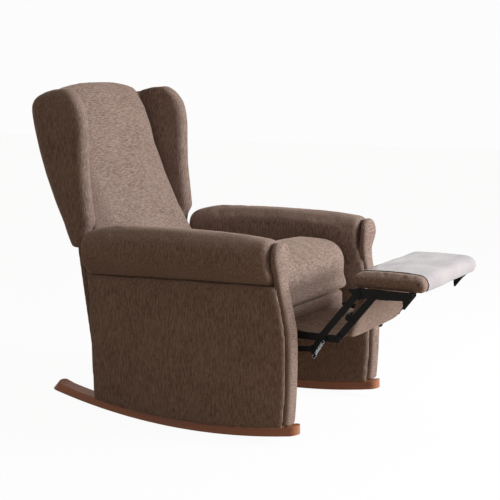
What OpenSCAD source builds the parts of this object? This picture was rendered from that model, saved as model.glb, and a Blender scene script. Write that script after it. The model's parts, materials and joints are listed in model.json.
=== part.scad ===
// Nursing chair: an upholstered wing chair on wooden rockers, with a reclining back and a fold-out footrest.
// Lengths are in millimetres. The sitter faces -Y, +Z is up, and X runs across the chair.
// Until the last step, y is measured from the line where the rockers touch the floor.

/* [Rockers] */
// Radius of the rolling edge
rocker_r = 2300; // [2100:10:2600]
// Width of a rocker across the chair
rocker_w = 52; // [44:1:56]
// Thickness of a rocker
rocker_t = 29; // [26:1:34]
// Reach of a rocker ahead of the floor contact
rocker_front = 413; // [400:1:440]
// Reach of a rocker behind the floor contact
rocker_rear = 557; // [520:1:600]
// Length of the worn flat where a rocker stands
rocker_land = 50; // [30:1:60]

/* [Arms] */
// Distance from the middle to the inner face of an arm
arm_in = 289; // [285:1:310]
// Thickness of an arm between its inner and outer covers
arm_w = 85; // [80:1:95]
// Thickness of an arm's padded cover panels
arm_pad = 12; // [10:1:16]
// Height of the seam under the arm roll at the front
seam_front_z = 510; // [495:1:520]
// Height of the seam under the arm roll at the rear
seam_rear_z = 490; // [480:1:500]
// Height of the arm roll's top at mid length
arm_top_z = 682; // [665:1:700]
// How far the arm roll hangs out past the outer cover
roll_overhang = 30; // [16:1:36]
// Width of the padded facing strip on the front of an arm
facing_w = 63; // [56:1:68]
// Thickness of the facing strip
facing_t = 16; // [12:1:20]

/* [Seat] */
// Depth of the seat cushion from its front to the back cushion
seat_depth = 559; // [520:1:560]
// Height of the seat cushion's highest edge
seat_top_z = 584; // [570:1:600]
// Slope of the seat's top, in degrees down to the rear
seat_slope = 15; // [12:0.5:16]
// Crown of the seat cushion at the middle
seat_crown = 16; // [6:1:24]
// Thickness of the seat frame's rails
seat_rail_t = 22; // [18:1:26]

/* [Back] */
// Radius of the curve that the outside of the back follows
back_r = 1262; // [1250:1:1280]
// Thickness of the back, from the face of its cushion to its outside
back_thick = 119; // [112:1:126]
// Height of the middle of the back's curve
back_mid_z = 1248; // [1230:1:1270]
// Half width of the back over its wings
wing_out = 345; // [335:1:350]
// Thickness of a wing
wing_t = 55; // [45:1:60]
// Radius of the corner from a wing round to the outside back
wing_corner = 90; // [60:1:100]
// Half width of the back cushion
back_half = 284; // [270:1:288]
// Crown of the back cushion at the middle
back_crown = 24; // [10:1:30]
// Height of the wings' top
wing_top_z = 1129; // [1120:1:1136]
// Thickness of the back frame's rails
back_rail_t = 22; // [18:1:26]

/* [Footrest] */
// Half width of the footrest pad
foot_half = 252; // [240:1:258]
// Depth of the footrest pad
foot_d = 253; // [240:1:262]
// Thickness of the footrest's board
foot_board_t = 12; // [9:1:15]
// Thickness of the footrest's padding over the board
foot_pad_t = 34; // [28:1:40]
// Height of the board's underside when the footrest is out
foot_z = 508; // [500:1:516]
// Half width of the calf panel
calf_half = 205; // [180:1:215]
// Length of the calf panel
calf_len = 158; // [140:1:165]
// Thickness of the calf panel's padding
calf_pad_t = 22; // [16:1:26]

/* [Linkage] */
// Thickness of the steel links
link_t = 3; // [2.5:0.1:3.2]
// Gap between links side by side
link_gap = 1; // [0.6:0.1:1.4]
// Width of the steel links
link_w = 22; // [20:1:24]
// Radius of the pivot rivets
rivet_r = 4; // [3:0.1:5]
// Play between a rivet and a link that turns on it
pivot_play = 0.08; // [0.02:0.01:0.1]
// Pivot spacing along a fold arm, from the frame to the rear bar
arm_reach = 182; // [176:1:186]
// Pivot spacing between the two long bars
bar_gap = 55; // [50:1:58]
// Length of the long bars between pivots
bar_len = 195; // [190:1:200]
// Lean of the long bars when the footrest is out, in degrees
bar_lean = 39.6; // [38:0.1:41]
// Lean of the long bars when the footrest is in, in degrees
bar_lean_in = 8.6; // [8:0.1:10]
// Lower tail of the rear bar, from its pivot to the control link
tail_len = 42; // [41:0.5:43]
// Bend of that tail from the bar's line, in degrees
tail_bend = 14.1; // [13.5:0.1:14.5]
// Length of the control link between pivots
control_len = 174.7; // [174:0.1:176]

/* [Hidden] */
$fn = 48;

// Clearances
seat_gap = 0.3;        // soft pieces against what they rest on
wood_play = 1;         // wooden pieces past covers
fit_play = 0.03;       // a rivet in the link that holds it
control_play = 6.6;    // the open pivot at the control link's front end

// Colours
fabric_colour = [0.42, 0.34, 0.30];
wood_colour = [0.55, 0.33, 0.22];
frame_wood_colour = [0.80, 0.68, 0.50];
steel_colour = [0.10, 0.10, 0.11];
zinc_colour = [0.75, 0.76, 0.78];
vinyl_colour = [0.86, 0.85, 0.88];
web_colour = [0.20, 0.20, 0.22];

// Rotation of a point about the X axis, as [y, z]
function turn(p, a) = [p[0] * cos(a) - p[1] * sin(a), p[0] * sin(a) + p[1] * cos(a)];
// Point from which the back's curves are struck, and a point on them
back_low = [484.574353, 575];
back_c = [back_low[0] - sqrt(pow(back_r, 2) - pow(back_mid_z - back_low[1], 2)), back_mid_z];
function on_back(r, a) = [back_c[0] + r * cos(a), back_c[1] + r * sin(a)];
// Rearward reach of a curve of the back at height z
function back_y(r, z) = back_c[0] + sqrt(r * r - pow(z - back_c[1], 2));
// Top of a rocker at place y
function rocker_top(y) = rocker_r - sqrt(pow(rocker_r - rocker_t, 2) - y * y);
// Height of the seam under the arm roll at place y
function seam_z(y) = seam_rear_z
    + (seam_front_z - seam_rear_z) * (arm_rear_y - y) / (arm_rear_y - arm_front_y);

// Places along the chair
arm_front_y = -345;
arm_rear_y = 378;
arm_rear_foot_y = 357;
belly_y = -384;        // the fullest line of the arm's front
arm_out = arm_in + arm_w;
frame_in = arm_in + arm_pad + wood_play;
frame_out = arm_out - arm_pad - wood_play;
rocker_x = arm_in + arm_w / 2 - 6.5;
// Front line of an arm at height z
front_line = [
    [40, -372], [120, -379], [200, -383], [300, -384], [370, -381], [440, -367],
    [500, -351], [550, -346], [600, -352], [640, -350], [690, -342]
];
function front_y(z) = lookup(z, front_line);
// Levels at which the facing strip on the arm's front is drawn, and the line that its bed follows
facing_rows = [66, 110, 170, 240, 310, 370, 430, 490, 510, 512, 520, 545, 565, 585, 603, 620, 634, 645, 652];
facing_bed = 8.3;
function bed_y(z) = lookup(z, [for (r = facing_rows) [r, front_y(r)]]) + facing_bed;

// Linkage pivots as [y, z], with the footrest out
pivot_a = [-270, 342];
pivot_d = pivot_a - [arm_reach, 0];
pivot_c = pivot_d - [bar_gap, 0];
bar_out = bar_len * [-sin(bar_lean), cos(bar_lean)];
pivot_e = pivot_d + bar_out;
pivot_f = pivot_c + bar_out;
tail_out = turn(-tail_len * [-sin(bar_lean), cos(bar_lean)], -tail_bend);
tail_in = turn(-tail_len * [-sin(bar_lean_in), cos(bar_lean_in)], -tail_bend);
pivot_g = pivot_d + tail_out;
// The same tail with the footrest in: the fold arm then hangs straight down
tail_end_in = pivot_a - [0, arm_reach] + tail_in;
// The control link's fixed pivot is as far from the tail's end at both limits
tail_mid = (pivot_g + tail_end_in) / 2;
tail_step = tail_end_in - pivot_g;
tail_span = norm(tail_step);
pivot_b = tail_mid
    + sqrt(pow(control_len, 2) - pow(tail_span / 2, 2)) * [-tail_step[1], tail_step[0]] / tail_span;
calf_at = 84;          // the calf panel's rivet, up the front bar
pivot_h = pivot_c + calf_at * bar_out / bar_len;
back_pivot = [310, 395];

// Layers of links across the chair, from the frame's side plate inwards, with room for rivet heads between
plate_x = 269.8;
head_gap = 3.4;
control_x = plate_x - 2 * link_t - link_gap;
rear_x = control_x - head_gap - link_t;
arm_x = rear_x - head_gap - link_t;
front_x = arm_x - head_gap - link_t;
calf_x = front_x - link_gap - link_t;

// Footrest
foot_rear_y = pivot_f[0] + 86;
foot_front_y = foot_rear_y - foot_d;
foot_mid_y = (foot_rear_y + foot_front_y) / 2;
// The middle of the whole chair goes to y = 0
back_rear_y = back_y(back_r, 1085);
centre_y = -(foot_front_y + back_rear_y) / 2;

module centred() translate([0, centre_y, 0]) children();
// A piece drawn at +X, the sitter's left
module left() children();
module right() mirror([1, 0, 0]) children();
module both() {
    left() children();
    right() children();
}

// Plate with the outline drawn in y and z, from x0 outwards
module plate(x0, t) translate([x0, 0, 0]) rotate([90, 0, 90]) linear_extrude(t) children();
// Round bar across the chair between x0 and x1, at the point p = [y, z]
module cross_pin(p, r, x0, x1) translate([x0, p[0], p[1]]) rotate([0, 90, 0]) cylinder(r = r, h = x1 - x0);
// Round outline at p
module spot(p, r) translate(p) circle(r);
// Straight bar between two points, with round ends; its straight sides stand back by slim
module bar_outline(p, q, w, slim = 0) {
    d = q - p;
    spot(p, w / 2);
    spot(q, w / 2);
    translate(p) rotate(atan2(d[1], d[0])) translate([0, slim - w / 2]) square([norm(d), w - 2 * slim]);
}
// Rivet through the layers from x0 to x1, with domed heads on both ends
module rivet(p, x0, x1, head = 6.4) {
    cross_pin(p, rivet_r, x0 - 0.5, x1 + 0.5);
    rivet_head(p, x0 - 0.3, -1, head);
    rivet_head(p, x1 + 0.3, 1, head);
}
module rivet_head(p, x, way, head) translate([x, p[0], p[1]]) rotate([0, way * 90, 0])
    intersection() {
        cylinder(r = head, h = 2.6);
        translate([0, 0, -head * 1.6]) sphere(r = head * 1.6 + 2.6);
    }

// Solid lofted through rings of points, all with the same count
module loft(rings) {
    n = len(rings[0]);
    m = len(rings);
    polyhedron(
        points = [for (ring = rings) each ring],
        faces = concat(
            [[for (i = [n - 1:-1:0]) i]],
            [for (k = [0:m - 2], i = [0:n - 1]) each [
                [k * n + i, k * n + (i + 1) % n, (k + 1) * n + (i + 1) % n],
                [k * n + i, (k + 1) * n + (i + 1) % n, (k + 1) * n + i]
            ]],
            [[for (i = [0:n - 1]) (m - 1) * n + i]]
        )
    );
}
// A closed outline moved inwards by d
function inset(pts, d) = [for (i = [0:len(pts) - 1])
    let (a = pts[(i + len(pts) - 1) % len(pts)], b = pts[(i + 1) % len(pts)], t = (b - a) / norm(b - a))
    pts[i] + d * [-t[1], t[0]]];
// Quarter round: how far a ring at depth e below the face is drawn in, on an edge of radius r
function drawn(e, r) = r - sqrt(max(0, r * r - pow(r - e, 2)));
// Part of a wave that is 1 in the middle and 0 at both ends
function swell(t) = max(0, 1 - pow(2 * t - 1, 2));

// Rockers
module rocker_outline() intersection() {
    difference() {
        translate([0, rocker_r - land_rise]) circle(rocker_r, $fn = 720);
        translate([0, rocker_r]) circle(rocker_r - rocker_t, $fn = 720);
    }
    translate([-rocker_front, 0]) square([rocker_front + rocker_rear, 200]);
}
// The flat is as deep as the round edge rises over half its length
land_rise = rocker_r - sqrt(rocker_r * rocker_r - pow(rocker_land / 2, 2));
rocker_screw_y = [-270, 20, 290];
module rocker() color(wood_colour) difference() {
    intersection() {
        plate(rocker_x - rocker_w / 2, rocker_w) rocker_outline();
        union() {
            translate([rocker_x - rocker_w / 2, -rocker_front + rocker_w / 2, -1])
                cube([rocker_w, rocker_front + rocker_rear - rocker_w, 300]);
            for (y = [-rocker_front + rocker_w / 2, rocker_rear - rocker_w / 2])
                translate([rocker_x, y, -1]) cylinder(r = rocker_w / 2, h = 300);
        }
    }
    for (y = rocker_screw_y) translate([rocker_x, y, rocker_top(y) - rocker_t - 3]) {
        cylinder(r = 2.6, h = rocker_t + 10);
        cylinder(r = 6.5, h = 14);
    }
}
module rocker_screws() color(zinc_colour) both() for (y = rocker_screw_y)
    translate([rocker_x, y, rocker_top(y) - rocker_t + 7.3]) {
        cylinder(r = 2.5, h = rocker_t + 12);
        cylinder(r = 5.6, h = 3.65);
    }

// Arm frames
module above_rocker(z1) difference() {
    intersection() {
        translate([0, rocker_r]) circle(rocker_r - rocker_t - seat_gap, $fn = 720);
        translate([-600, 0]) square([1200, z1]);
    }
}
bottom_rail_z = 104;
post_front_y = -330;
post_d = 42;
top_rail_t = 24;
rail_front_z = seam_z(bed_y(486)) - top_rail_t;
module arm_bottom_rail() color(frame_wood_colour) difference() {
    plate(frame_in, frame_out - frame_in) intersection() {
        above_rocker(bottom_rail_z);
        translate([bed_y(40) + 0.1, 0]) square([arm_rear_foot_y - 14.1 - bed_y(40), 200]);
    }
    for (y = rocker_screw_y) translate([rocker_x, y, rocker_top(y) - 5]) cylinder(r = 2.55, h = 27);
}
module arm_front_post() color(frame_wood_colour) plate(frame_in, frame_out - frame_in)
    polygon(concat(
        [[post_front_y + post_d, bottom_rail_z]],
        [[post_front_y + post_d, seam_z(post_front_y + post_d) - top_rail_t]],
        [for (z = [rail_front_z, 430, 370, 310, 240, 170, 110, bottom_rail_z]) [bed_y(z), z]]
    ));
rear_post_y = arm_rear_foot_y - 14 - post_d;
module arm_rear_post() color(frame_wood_colour) plate(frame_in, frame_out - frame_in)
    polygon([
        [rear_post_y, bottom_rail_z], [rear_post_y + post_d, bottom_rail_z],
        [rear_post_y + post_d, seam_z(rear_post_y + post_d) - top_rail_t],
        [rear_post_y, seam_z(rear_post_y) - top_rail_t]
    ]);
module arm_top_rail() color(frame_wood_colour) plate(frame_in, frame_out - frame_in)
    polygon([
        [bed_y(490), 490], [bed_y(rail_front_z), rail_front_z],
        [rear_post_y + post_d, seam_z(rear_post_y + post_d) - top_rail_t],
        [rear_post_y + post_d, seam_z(rear_post_y + post_d)],
        [bed_y(509), seam_z(bed_y(509))]
    ]);
module arm_rear_cover() color(fabric_colour) plate(frame_in - 0.6, frame_out - frame_in + 1.2)
    polygon([
        [arm_rear_foot_y - 13.7, 62], [arm_rear_foot_y, 62], [arm_rear_y - 6, seam_z(arm_rear_y) - 2],
        [arm_rear_foot_y - 13.7, seam_z(arm_rear_y) - 2]
    ]);
cross_rail_z = 46;
cross_rail_h = 48;
cross_rail_t = 24;
front_rail_y = -60;
rear_rail_y = 250;
module arm_rails() {
    arm_bottom_rail();
    arm_top_rail();
}
module arm_posts() {
    arm_front_post();
    arm_rear_post();
}
module cross_rails() color(frame_wood_colour) for (y = [front_rail_y, rear_rail_y])
    translate([-frame_in + 0.05, y, cross_rail_z])
        cube([2 * frame_in - 0.1, cross_rail_t, cross_rail_h]);

// Padded covers of the arm, lofted from the face on the frame outwards
side_steps = 8;
function side_outline(top) = concat(
    [for (i = [0:10]) let (y = arm_front_y - 28 + (arm_rear_foot_y - arm_front_y + 28) * i / 10)
        [y, rocker_top(y) + 1.5]],
    [for (i = [1:side_steps - 1]) let (t = i / side_steps)
        [arm_rear_foot_y + (arm_rear_y - 6 - arm_rear_foot_y) * t, 60 + (seam_z(arm_rear_y) - 62) * t]],
    [for (i = [0:4]) let (y = arm_rear_y - 6 - (arm_rear_y - 6 - arm_front_y - 6) * i / 4)
        [y, seam_z(y) - top]],
    [for (i = [side_steps:-1:1]) let (z = 66 + (seam_z(arm_front_y) - 76) * i / side_steps) [front_y(z), z]]
);
// Rings of a padded panel over an outline in y and z: a flat back, a round edge and a low crown
function panel_rings(pts, x, t, way, crown) = [
    for (s = [[0, 0.4], [t * 0.35, 0], [t * 0.75, drawn(t * 0.45, t * 0.7)], [t, t * 0.55], [t + crown, 40]])
        [for (p = inset(pts, s[1])) [x + way * s[0], p[0], p[1]]]
];
module arm_outer_panel() color(fabric_colour)
    loft(panel_rings(side_outline(seat_gap), arm_out - arm_pad, arm_pad - 2, 1, 2));
module arm_inner_panel() color(fabric_colour) difference() {
    mirror([1, 0, 0]) loft(panel_rings(side_outline(seat_gap), -arm_in - arm_pad, arm_pad - 2, 1, 2));
    for (y = [front_rail_y, rear_rail_y]) translate([arm_in - 1, y - seat_gap, cross_rail_z - seat_gap])
        cube([arm_pad + 3, cross_rail_t + 2 * seat_gap, cross_rail_h + 2 * seat_gap]);
}

// Arm roll: sections in x and z along the arm
roll_n = 20;
roll_rear_y = 392;
roll_front_y = -338;
function roll_top(y) = arm_top_z - 0.00017 * pow(y - 20, 2) - (y > 250 ? 0.0009 * pow(y - 250, 2) : 0);
roll_mid = arm_in - 1 + (arm_w + roll_overhang + 4) / 2;
function roll_section(y, s) = let (
        z0 = seam_z(y) + seat_gap, h = roll_top(y) - z0, w = (arm_w + roll_overhang + 4) / 2
    ) [for (i = [0:roll_n - 1]) let (
            a = 360 * i / roll_n - 90,
            flat = pow(abs(cos(a)), 0.62) * sign(cos(a)),
            up = pow(abs(sin(a)), 0.78) * sign(sin(a)),
            v = (up + 1) / 2,
            under = cos(a) > 0 ? roll_overhang * pow(max(0, 1 - v * 1.9), 1.5) : 2 * pow(1 - v, 2)
        ) [roll_mid + (flat * w - sign(cos(a)) * under) * (1 - s / w), y, z0 + s * 0.9 + (h - s * 1.8) * v]];
roll_ends = [[0, 26], [3, 17], [9, 9], [20, 3.5], [36, 0]];
module arm_roll() color(fabric_colour) loft(concat(
    [for (e = roll_ends) roll_section(roll_rear_y - e[0], e[1])],
    [for (y = [290, 200, 90, -30, -150, -250]) roll_section(y, 0)],
    [for (i = [4:-1:0]) roll_section(roll_front_y + roll_ends[i][0] * 0.6, roll_ends[i][1] * 0.7)]
));

// Facing strip: a keyhole outline in x and z, padded towards the front
bulb_r = 52;
facing_in = arm_in + 12;
bulb_z = 603;
neck_z = 545;
function facing_left(z) = facing_in - (z > 500 ? min(1, (z - 500) / 80) * 9 : 0);
function facing_right(z) = z < neck_z
    ? facing_in + facing_w + 6 * pow(max(0, (z - 440) / 105), 2)
    : facing_in + facing_w + 6 + (bulb_r - 25) * pow(sin(min(90, (z - neck_z) * 1.55)), 1.2);
// How far the strip's sides close in over the round top of the bulb
function bulb_close(z) = z < bulb_z ? 0 : 1 - sqrt(max(0, 1 - pow((z - bulb_z) / (654 - bulb_z), 2)));
// The strip's bed lies between the covers, and its front spreads over their edges
function facing_section(z) = let (
        c = bulb_close(z) * 0.92, l0 = facing_left(z), r0 = facing_right(z), m = (l0 + r0) / 2,
        l = l0 + (m - l0) * c, r = r0 + (m - r0) * c, t = facing_t * (1 - 0.45 * c), y = front_y(z) - 0.4,
        low = z < 511, lb = low ? frame_in - 0.6 : l + 1, rb = low ? frame_out + 0.6 : r - 1,
        yb = (low ? bed_y(z) : min(bed_y(z), roll_front_y)) - seat_gap
    ) concat([[lb, yb, z], [lb, y, z], [min(l, lb - 0.2), y - 0.1, z]],
        [for (p = [[0, -0.35], [0.06, -0.72], [0.2, -0.93], [0.5, -1.02],
                   [0.8, -0.93], [0.94, -0.72], [1, -0.35]])
            [l + (r - l) * p[0], y + t * p[1], z]],
        [[max(r, rb + 0.2), y - 0.1, z], [rb, y, z], [rb, yb, z]]);
module arm_facing() color(fabric_colour) mirror([0, 0, 1])
    loft([for (z = facing_rows) [for (p = facing_section(z)) [p[0], p[1], -p[2]]]]);

// Wooden rails and steel side plates that carry the seat, the back and the linkage
mech_rail_z = 306;
mech_rail_h = 78;
mech_rail_y0 = -262;
mech_rail_y1 = 290;
module mechanism_rail() color(frame_wood_colour)
    translate([plate_x + 0.05, mech_rail_y0, mech_rail_z])
        cube([arm_in - plate_x - 0.1 - seat_gap, mech_rail_y1 - mech_rail_y0, mech_rail_h]);
plate_screw_y = [-180, -40, 100, 230];
plate_screw_z = 368;
module plate_outline() {
    bar_outline([pivot_a[0] + 2, 352], [back_pivot[0] - 40, 368], 34, 0.4);
    bar_outline(pivot_a, pivot_b, 30, 0.5);
    bar_outline([back_pivot[0] - 40, 368], back_pivot, 36, 1.4);
}
module mechanism_plate() color(steel_colour) difference() {
    plate(plate_x - link_t, link_t) plate_outline();
    for (p = [pivot_a, pivot_b, back_pivot])
        cross_pin(p, rivet_r + fit_play, plate_x - link_t - 1, plate_x + 1);
    for (y = plate_screw_y) cross_pin([y, plate_screw_z], 2.6, plate_x - link_t - 1, plate_x + 1);
}
module mechanism_screws() color(zinc_colour) both() for (y = plate_screw_y) {
    cross_pin([y, plate_screw_z], 2.5, plate_x - link_t - 0.6, plate_x - 0.05);
    rivet_head([y, plate_screw_z], plate_x - link_t - 0.05, -1, 6);
}
// The frame's own rivets: fold arm, control link and back
module plate_rivets() color(zinc_colour) both() {
    rivet(pivot_a, arm_x, plate_x);
    sleeve(pivot_a, arm_x + link_t, plate_x - link_t);
    rivet(pivot_b, control_x, plate_x);
    rivet(back_pivot, bracket_x, plate_x);
}
module mechanism_fixings() {
    mechanism_screws();
    plate_rivets();
}
// Spacer on a rivet between two links
module sleeve(p, x0, x1) cross_pin(p, rivet_r + 3, x0 + link_gap / 2, x1 - link_gap / 2);

// Seat
seat_front_y = -310;
seat_rear_y = seat_front_y + seat_depth;
seat_half = arm_in - 3;
rail_top_z = 404;
seat_rail_h = 42;
seat_rail_half = 238;
butt = 0.02;           // glue line where rails butt together
module seat_frame() color(frame_wood_colour) {
    for (y = [seat_front_y + 22, seat_rear_y - 55])
        translate([-seat_rail_half, y, rail_top_z - seat_rail_h])
            cube([2 * seat_rail_half, seat_rail_t, seat_rail_h]);
    both() translate([
        seat_rail_half - seat_rail_t, seat_front_y + 22 + seat_rail_t + butt, rail_top_z - seat_rail_h
    ])
        cube([seat_rail_t, seat_depth - 77 - seat_rail_t - 2 * butt, seat_rail_h]);
}
// Bearers under the seat frame, between the steel side plates
module seat_bearers() color(frame_wood_colour) for (y = [-150, 118])
    translate([-plate_x + link_t + seat_gap, y, rail_top_z - seat_rail_h - 22])
        cube([2 * (plate_x - link_t - seat_gap), 44, 22]);
web_t = 1.6;
web_w = 50;
module seat_webbing() color(web_colour) {
    for (x = [-150, -50, 50, 150]) translate([x - web_w / 2, seat_front_y + 24, rail_top_z])
        cube([web_w, seat_depth - 77 + seat_rail_t - 4, web_t]);
    for (y = [-160, -60, 40]) translate([-seat_rail_half + 2, y, rail_top_z + web_t])
        cube([2 * seat_rail_half - 4, web_w, web_t]);
}
// Side view of the seat cushion: front roll, sloping top, rear and underside
seat_under_z = rail_top_z + 2 * web_t + seat_gap;
function seat_top(y) = seat_top_z - (y + 215) * tan(seat_slope);
function seat_side(k) = concat(
    [[seat_front_y + 6, seat_under_z], [seat_front_y - 1, seat_under_z + 14]],
    [[seat_front_y - 2, seat_under_z + 34]],
    [for (a = [170:-20:90]) [seat_front_y + 78 + 80 * cos(a), seat_top_z - 86 + 86 * sin(a) + k * 0.5]],
    [for (t = [0.18:0.16:0.98]) let (y = seat_front_y + 78 + (seat_depth - 96) * t)
        [y, seat_top(y) + k * swell(0.25 + t * 0.7)]],
    [[seat_rear_y - 6, seat_top(seat_rear_y) - 8 + k * 0.2], [seat_rear_y - 2, seat_top(seat_rear_y) - 26],
     [seat_rear_y - 8, seat_under_z + 8], [seat_rear_y - 20, seat_under_z]]
);
seat_mid = [(seat_front_y + seat_rear_y) / 2, 480];
function seat_ring(x, e) = let (
        k = seat_crown * (1 - pow(x / seat_half, 2)), pts = seat_side(k)
    ) [for (p = pts)
        let (z = p[1] - (p[1] - seat_under_z) * e / 110)
        [x, p[0] + (seat_mid[0] - p[0]) * e / 260, max(seat_under_z, z)]];
seat_x = [[0, 20], [4, 11], [12, 4.5], [26, 1], [60, 0], [130, 0], [210, 0]];
module seat_cushion() color(fabric_colour) loft(concat(
    [for (s = seat_x) seat_ring(-seat_half + s[0], s[1])], [seat_ring(0, 0)],
    [for (i = [len(seat_x) - 1:-1:0]) seat_ring(seat_half - seat_x[i][0], seat_x[i][1])]
));
// Padded border under the cushion's front, over the seat frame's front rail
border_half = seat_rail_half;
border_t = 16;
module seat_front_border() color(fabric_colour) {
    y = seat_front_y + 22 - 0.3;
    z0 = rail_top_z - seat_rail_h - 26;
    h = rail_top_z - z0;
    loft([for (s = [[0, 6], [3, 2], [10, 0], [border_half, 0], [2 * border_half - 10, 0],
                    [2 * border_half - 3, 2], [2 * border_half, 6]])
        [for (p = [[0, 0], [0, h], [-0.6 * border_t, h - 0.5], [-0.95 * border_t, h - 7],
                   [-border_t, h * 0.6], [-border_t, h * 0.35],
                   [-0.9 * border_t, 7], [-0.5 * border_t, 0.8]])
            let (z = z0 + h / 2 + (p[1] - h / 2) * (1 - s[1] / 40))
            [-border_half + s[0], y + p[0] * (1 - s[1] / 12), z]]]);
}

// Back frame and webbing, swept round the back's curve
frame_r = back_r - 48;
back_foot_z = 175;
function lower_y(z) = back_y(back_r, 575) - 1 - (575 - z) * tan(8.5);
lower_t = 24;
// Curved strip of the back between two radii, from a0 up to a1 degrees, and across x0 to x1
module back_strip(r0, r1, a0, a1, x0, x1) translate([0, back_c[0], back_c[1]])
    rotate([0, 90, 0]) rotate([0, 0, 90]) mirror([0, 0, 0]) intersection() {
        rotate_extrude($fn = 720) polygon([[r0, x0], [r1, x0], [r1, x1], [r0, x1]]);
        linear_extrude(4 * wing_out, center = true)
            polygon([[0, 0], for (a = [a0, (a0 + a1) / 2, a1]) 1.1 * r1 * [cos(a), sin(a)]]);
    }
back_a0 = -41.5;
back_a1 = -7.5;
stile_in = 205;
stile_out = wing_out - wing_corner - seat_gap;
module back_frame() color(frame_wood_colour) {
    both() {
        back_strip(frame_r - back_rail_t, frame_r, back_a0, back_a1, stile_in, stile_out);
        plate(stile_in, stile_out - stile_in) polygon([
            [back_y(frame_r, 575) + 0.2, 574], [lower_y(574) - lower_t - seat_gap, 574],
            [lower_y(back_foot_z) - lower_t - seat_gap, back_foot_z],
            [lower_y(back_foot_z) - lower_t - 24, back_foot_z],
            [lower_y(480) - lower_t - 24, 480], [back_y(frame_r, 480) + 0.2, 480],
            [back_y(frame_r, 527) + 0.2, 527]
        ]);
    }
    for (a = [[back_a0, back_a0 + 2.6], [-25, -22.6], [back_a1 - 2.6, back_a1]])
        back_strip(frame_r - back_rail_t, frame_r, a[0], a[1], -stile_in + 0.02, stile_in - 0.02);
    translate([-stile_in + 0.02, lower_y(200) - lower_t - 24, 185]) cube([2 * stile_in - 0.04, 20, 40]);
}
module back_webbing() color(web_colour) for (a = [-37, -33.5, -30, -19.5, -16, -12.5])
    back_strip(
        frame_r - back_rail_t - web_t, frame_r - back_rail_t - 0.02, a, a + 2.2,
        -stile_out + 4, stile_out - 4
    );

// Back cushion: sections in x and r, up the back's curve
back_rear_r = frame_r - back_rail_t - web_t - seat_gap;
back_face_r = back_r - back_thick;
cushion_rows = [
    [-44, 26, 0.1], [-43.6, 13, 0.2], [-42.6, 4, 0.25], [-40.5, 0, 0.55], [-36, 0, 1], [-30, 0, 1],
    [-24, 0, 1], [-18, 0, 1], [-13, 0, 0.95], [-10, 6, 0.85], [-8, 16, 0.65], [-6.4, 29, 0.4],
    [-5.4, 42, 0.1]
];
function cushion_front(a) = back_face_r;
// The section's outline: flat rear, round sides, crowned front
function cushion_section(row) = let (
        a = row[0], d = row[1], r1 = back_rear_r, r0 = cushion_front(a) + d, c = back_crown * row[2],
        side = back_half - (a > -11 ? (a + 11) * 7 : 0) - (a < -43 ? 8 : 0)
    ) [for (p = [[-0.94, 0], [-1, 0.2], [-1, 0.55], [-0.975, 0.8], [-0.91, 0.96], [-0.78, 1], [-0.5, 1],
                 [-0.2, 1], [0.2, 1], [0.5, 1], [0.78, 1], [0.91, 0.96], [0.975, 0.8], [1, 0.55],
                 [1, 0.2], [0.94, 0]])
        let (x = p[0] * side, r = r1 + (r0 - r1) * p[1] - (p[1] > 0.9 ? c * (1 - pow(p[0], 2)) : 0),
             q = on_back(r, a + (1 - pow(p[0], 2)) * (a > -9 ? 1.1 : 0))) [x, q[0], q[1]]];
module back_cushion() color(fabric_colour) mirror([1, 0, 0])
    loft([for (row = cushion_rows) [for (p = cushion_section(row)) [-p[0], p[1], p[2]]]]);

// Wing: level sections in x and y, from under the arm's height to the crest
wing_front = [
    [578, 405], [600, 405], [618, 403], [634, 399], [648, 389], [662, 381], [724, 388], [821, 399],
    [901, 401],
    [972, 400], [1020, 405], [wing_top_z - 76, 414], [wing_top_z - 56, 424], [wing_top_z - 29, 446],
    [wing_top_z - 13, 470],
    [wing_top_z - 4, 496], [wing_top_z, 520]
];
wing_in = wing_out - wing_t;
// The top closes in towards the crest line, and its outer rear corner is domed
function wing_close(z) = z < wing_top_z - 44 ? 0 : drawn_top((z - wing_top_z + 44) / 46);
function wing_dome(z) = z < wing_top_z - 84 ? 0 : drawn_top((z - wing_top_z + 84) / 88);
function crest_in(z) = z > wing_top_z - 39 ? drawn_top((z - wing_top_z + 39) / 42) * 30 : 0;
function drawn_top(t) = 1 - sqrt(max(0, 1 - t * t));
function wing_section(f) = let (
        z = f[0], c = wing_close(z), g = wing_dome(z), y0 = f[1],
        y1 = back_y(back_r, z) - crest_in(z), yo = back_y(back_r, z) - max(120 * g, 30 * c),
        w = wing_t * (1 - 0.5 * c), xo = wing_out - 34 * g - 6 * c, xi = xo - w, xm = (xo + xi) / 2,
        k = min(wing_corner, (yo - y0) * 0.6), n = 24 * (1 - 0.4 * c), xr = wing_out - wing_corner,
        y2 = max(back_y(frame_r - back_rail_t, z), y0 + n + 5)
    ) concat(
        [for (a = [0:36:180]) [xm - (w / 2) * cos(a), y0 + n - n * sin(a)]],
        [[xo + 1.5 - g, (y0 + n + yo - k) / 2], [xo, yo - k]],
        [for (a = [22.5:22.5:90]) [xr + (xo - xr) * cos(a), yo - k + (y1 - yo + k) * sin(a)]],
        [[xr, min(y2, y1 - 4)], [xi - 0.5, min(y2, y1 - 4)], [xi - 1, (y0 + n + y2) / 2]]
    );
module wing() color(fabric_colour)
    loft([for (i = [len(wing_front) - 1:-1:0])
        [for (p = wing_section(wing_front[i])) [p[0], p[1], wing_front[i][0]]]]);

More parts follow.
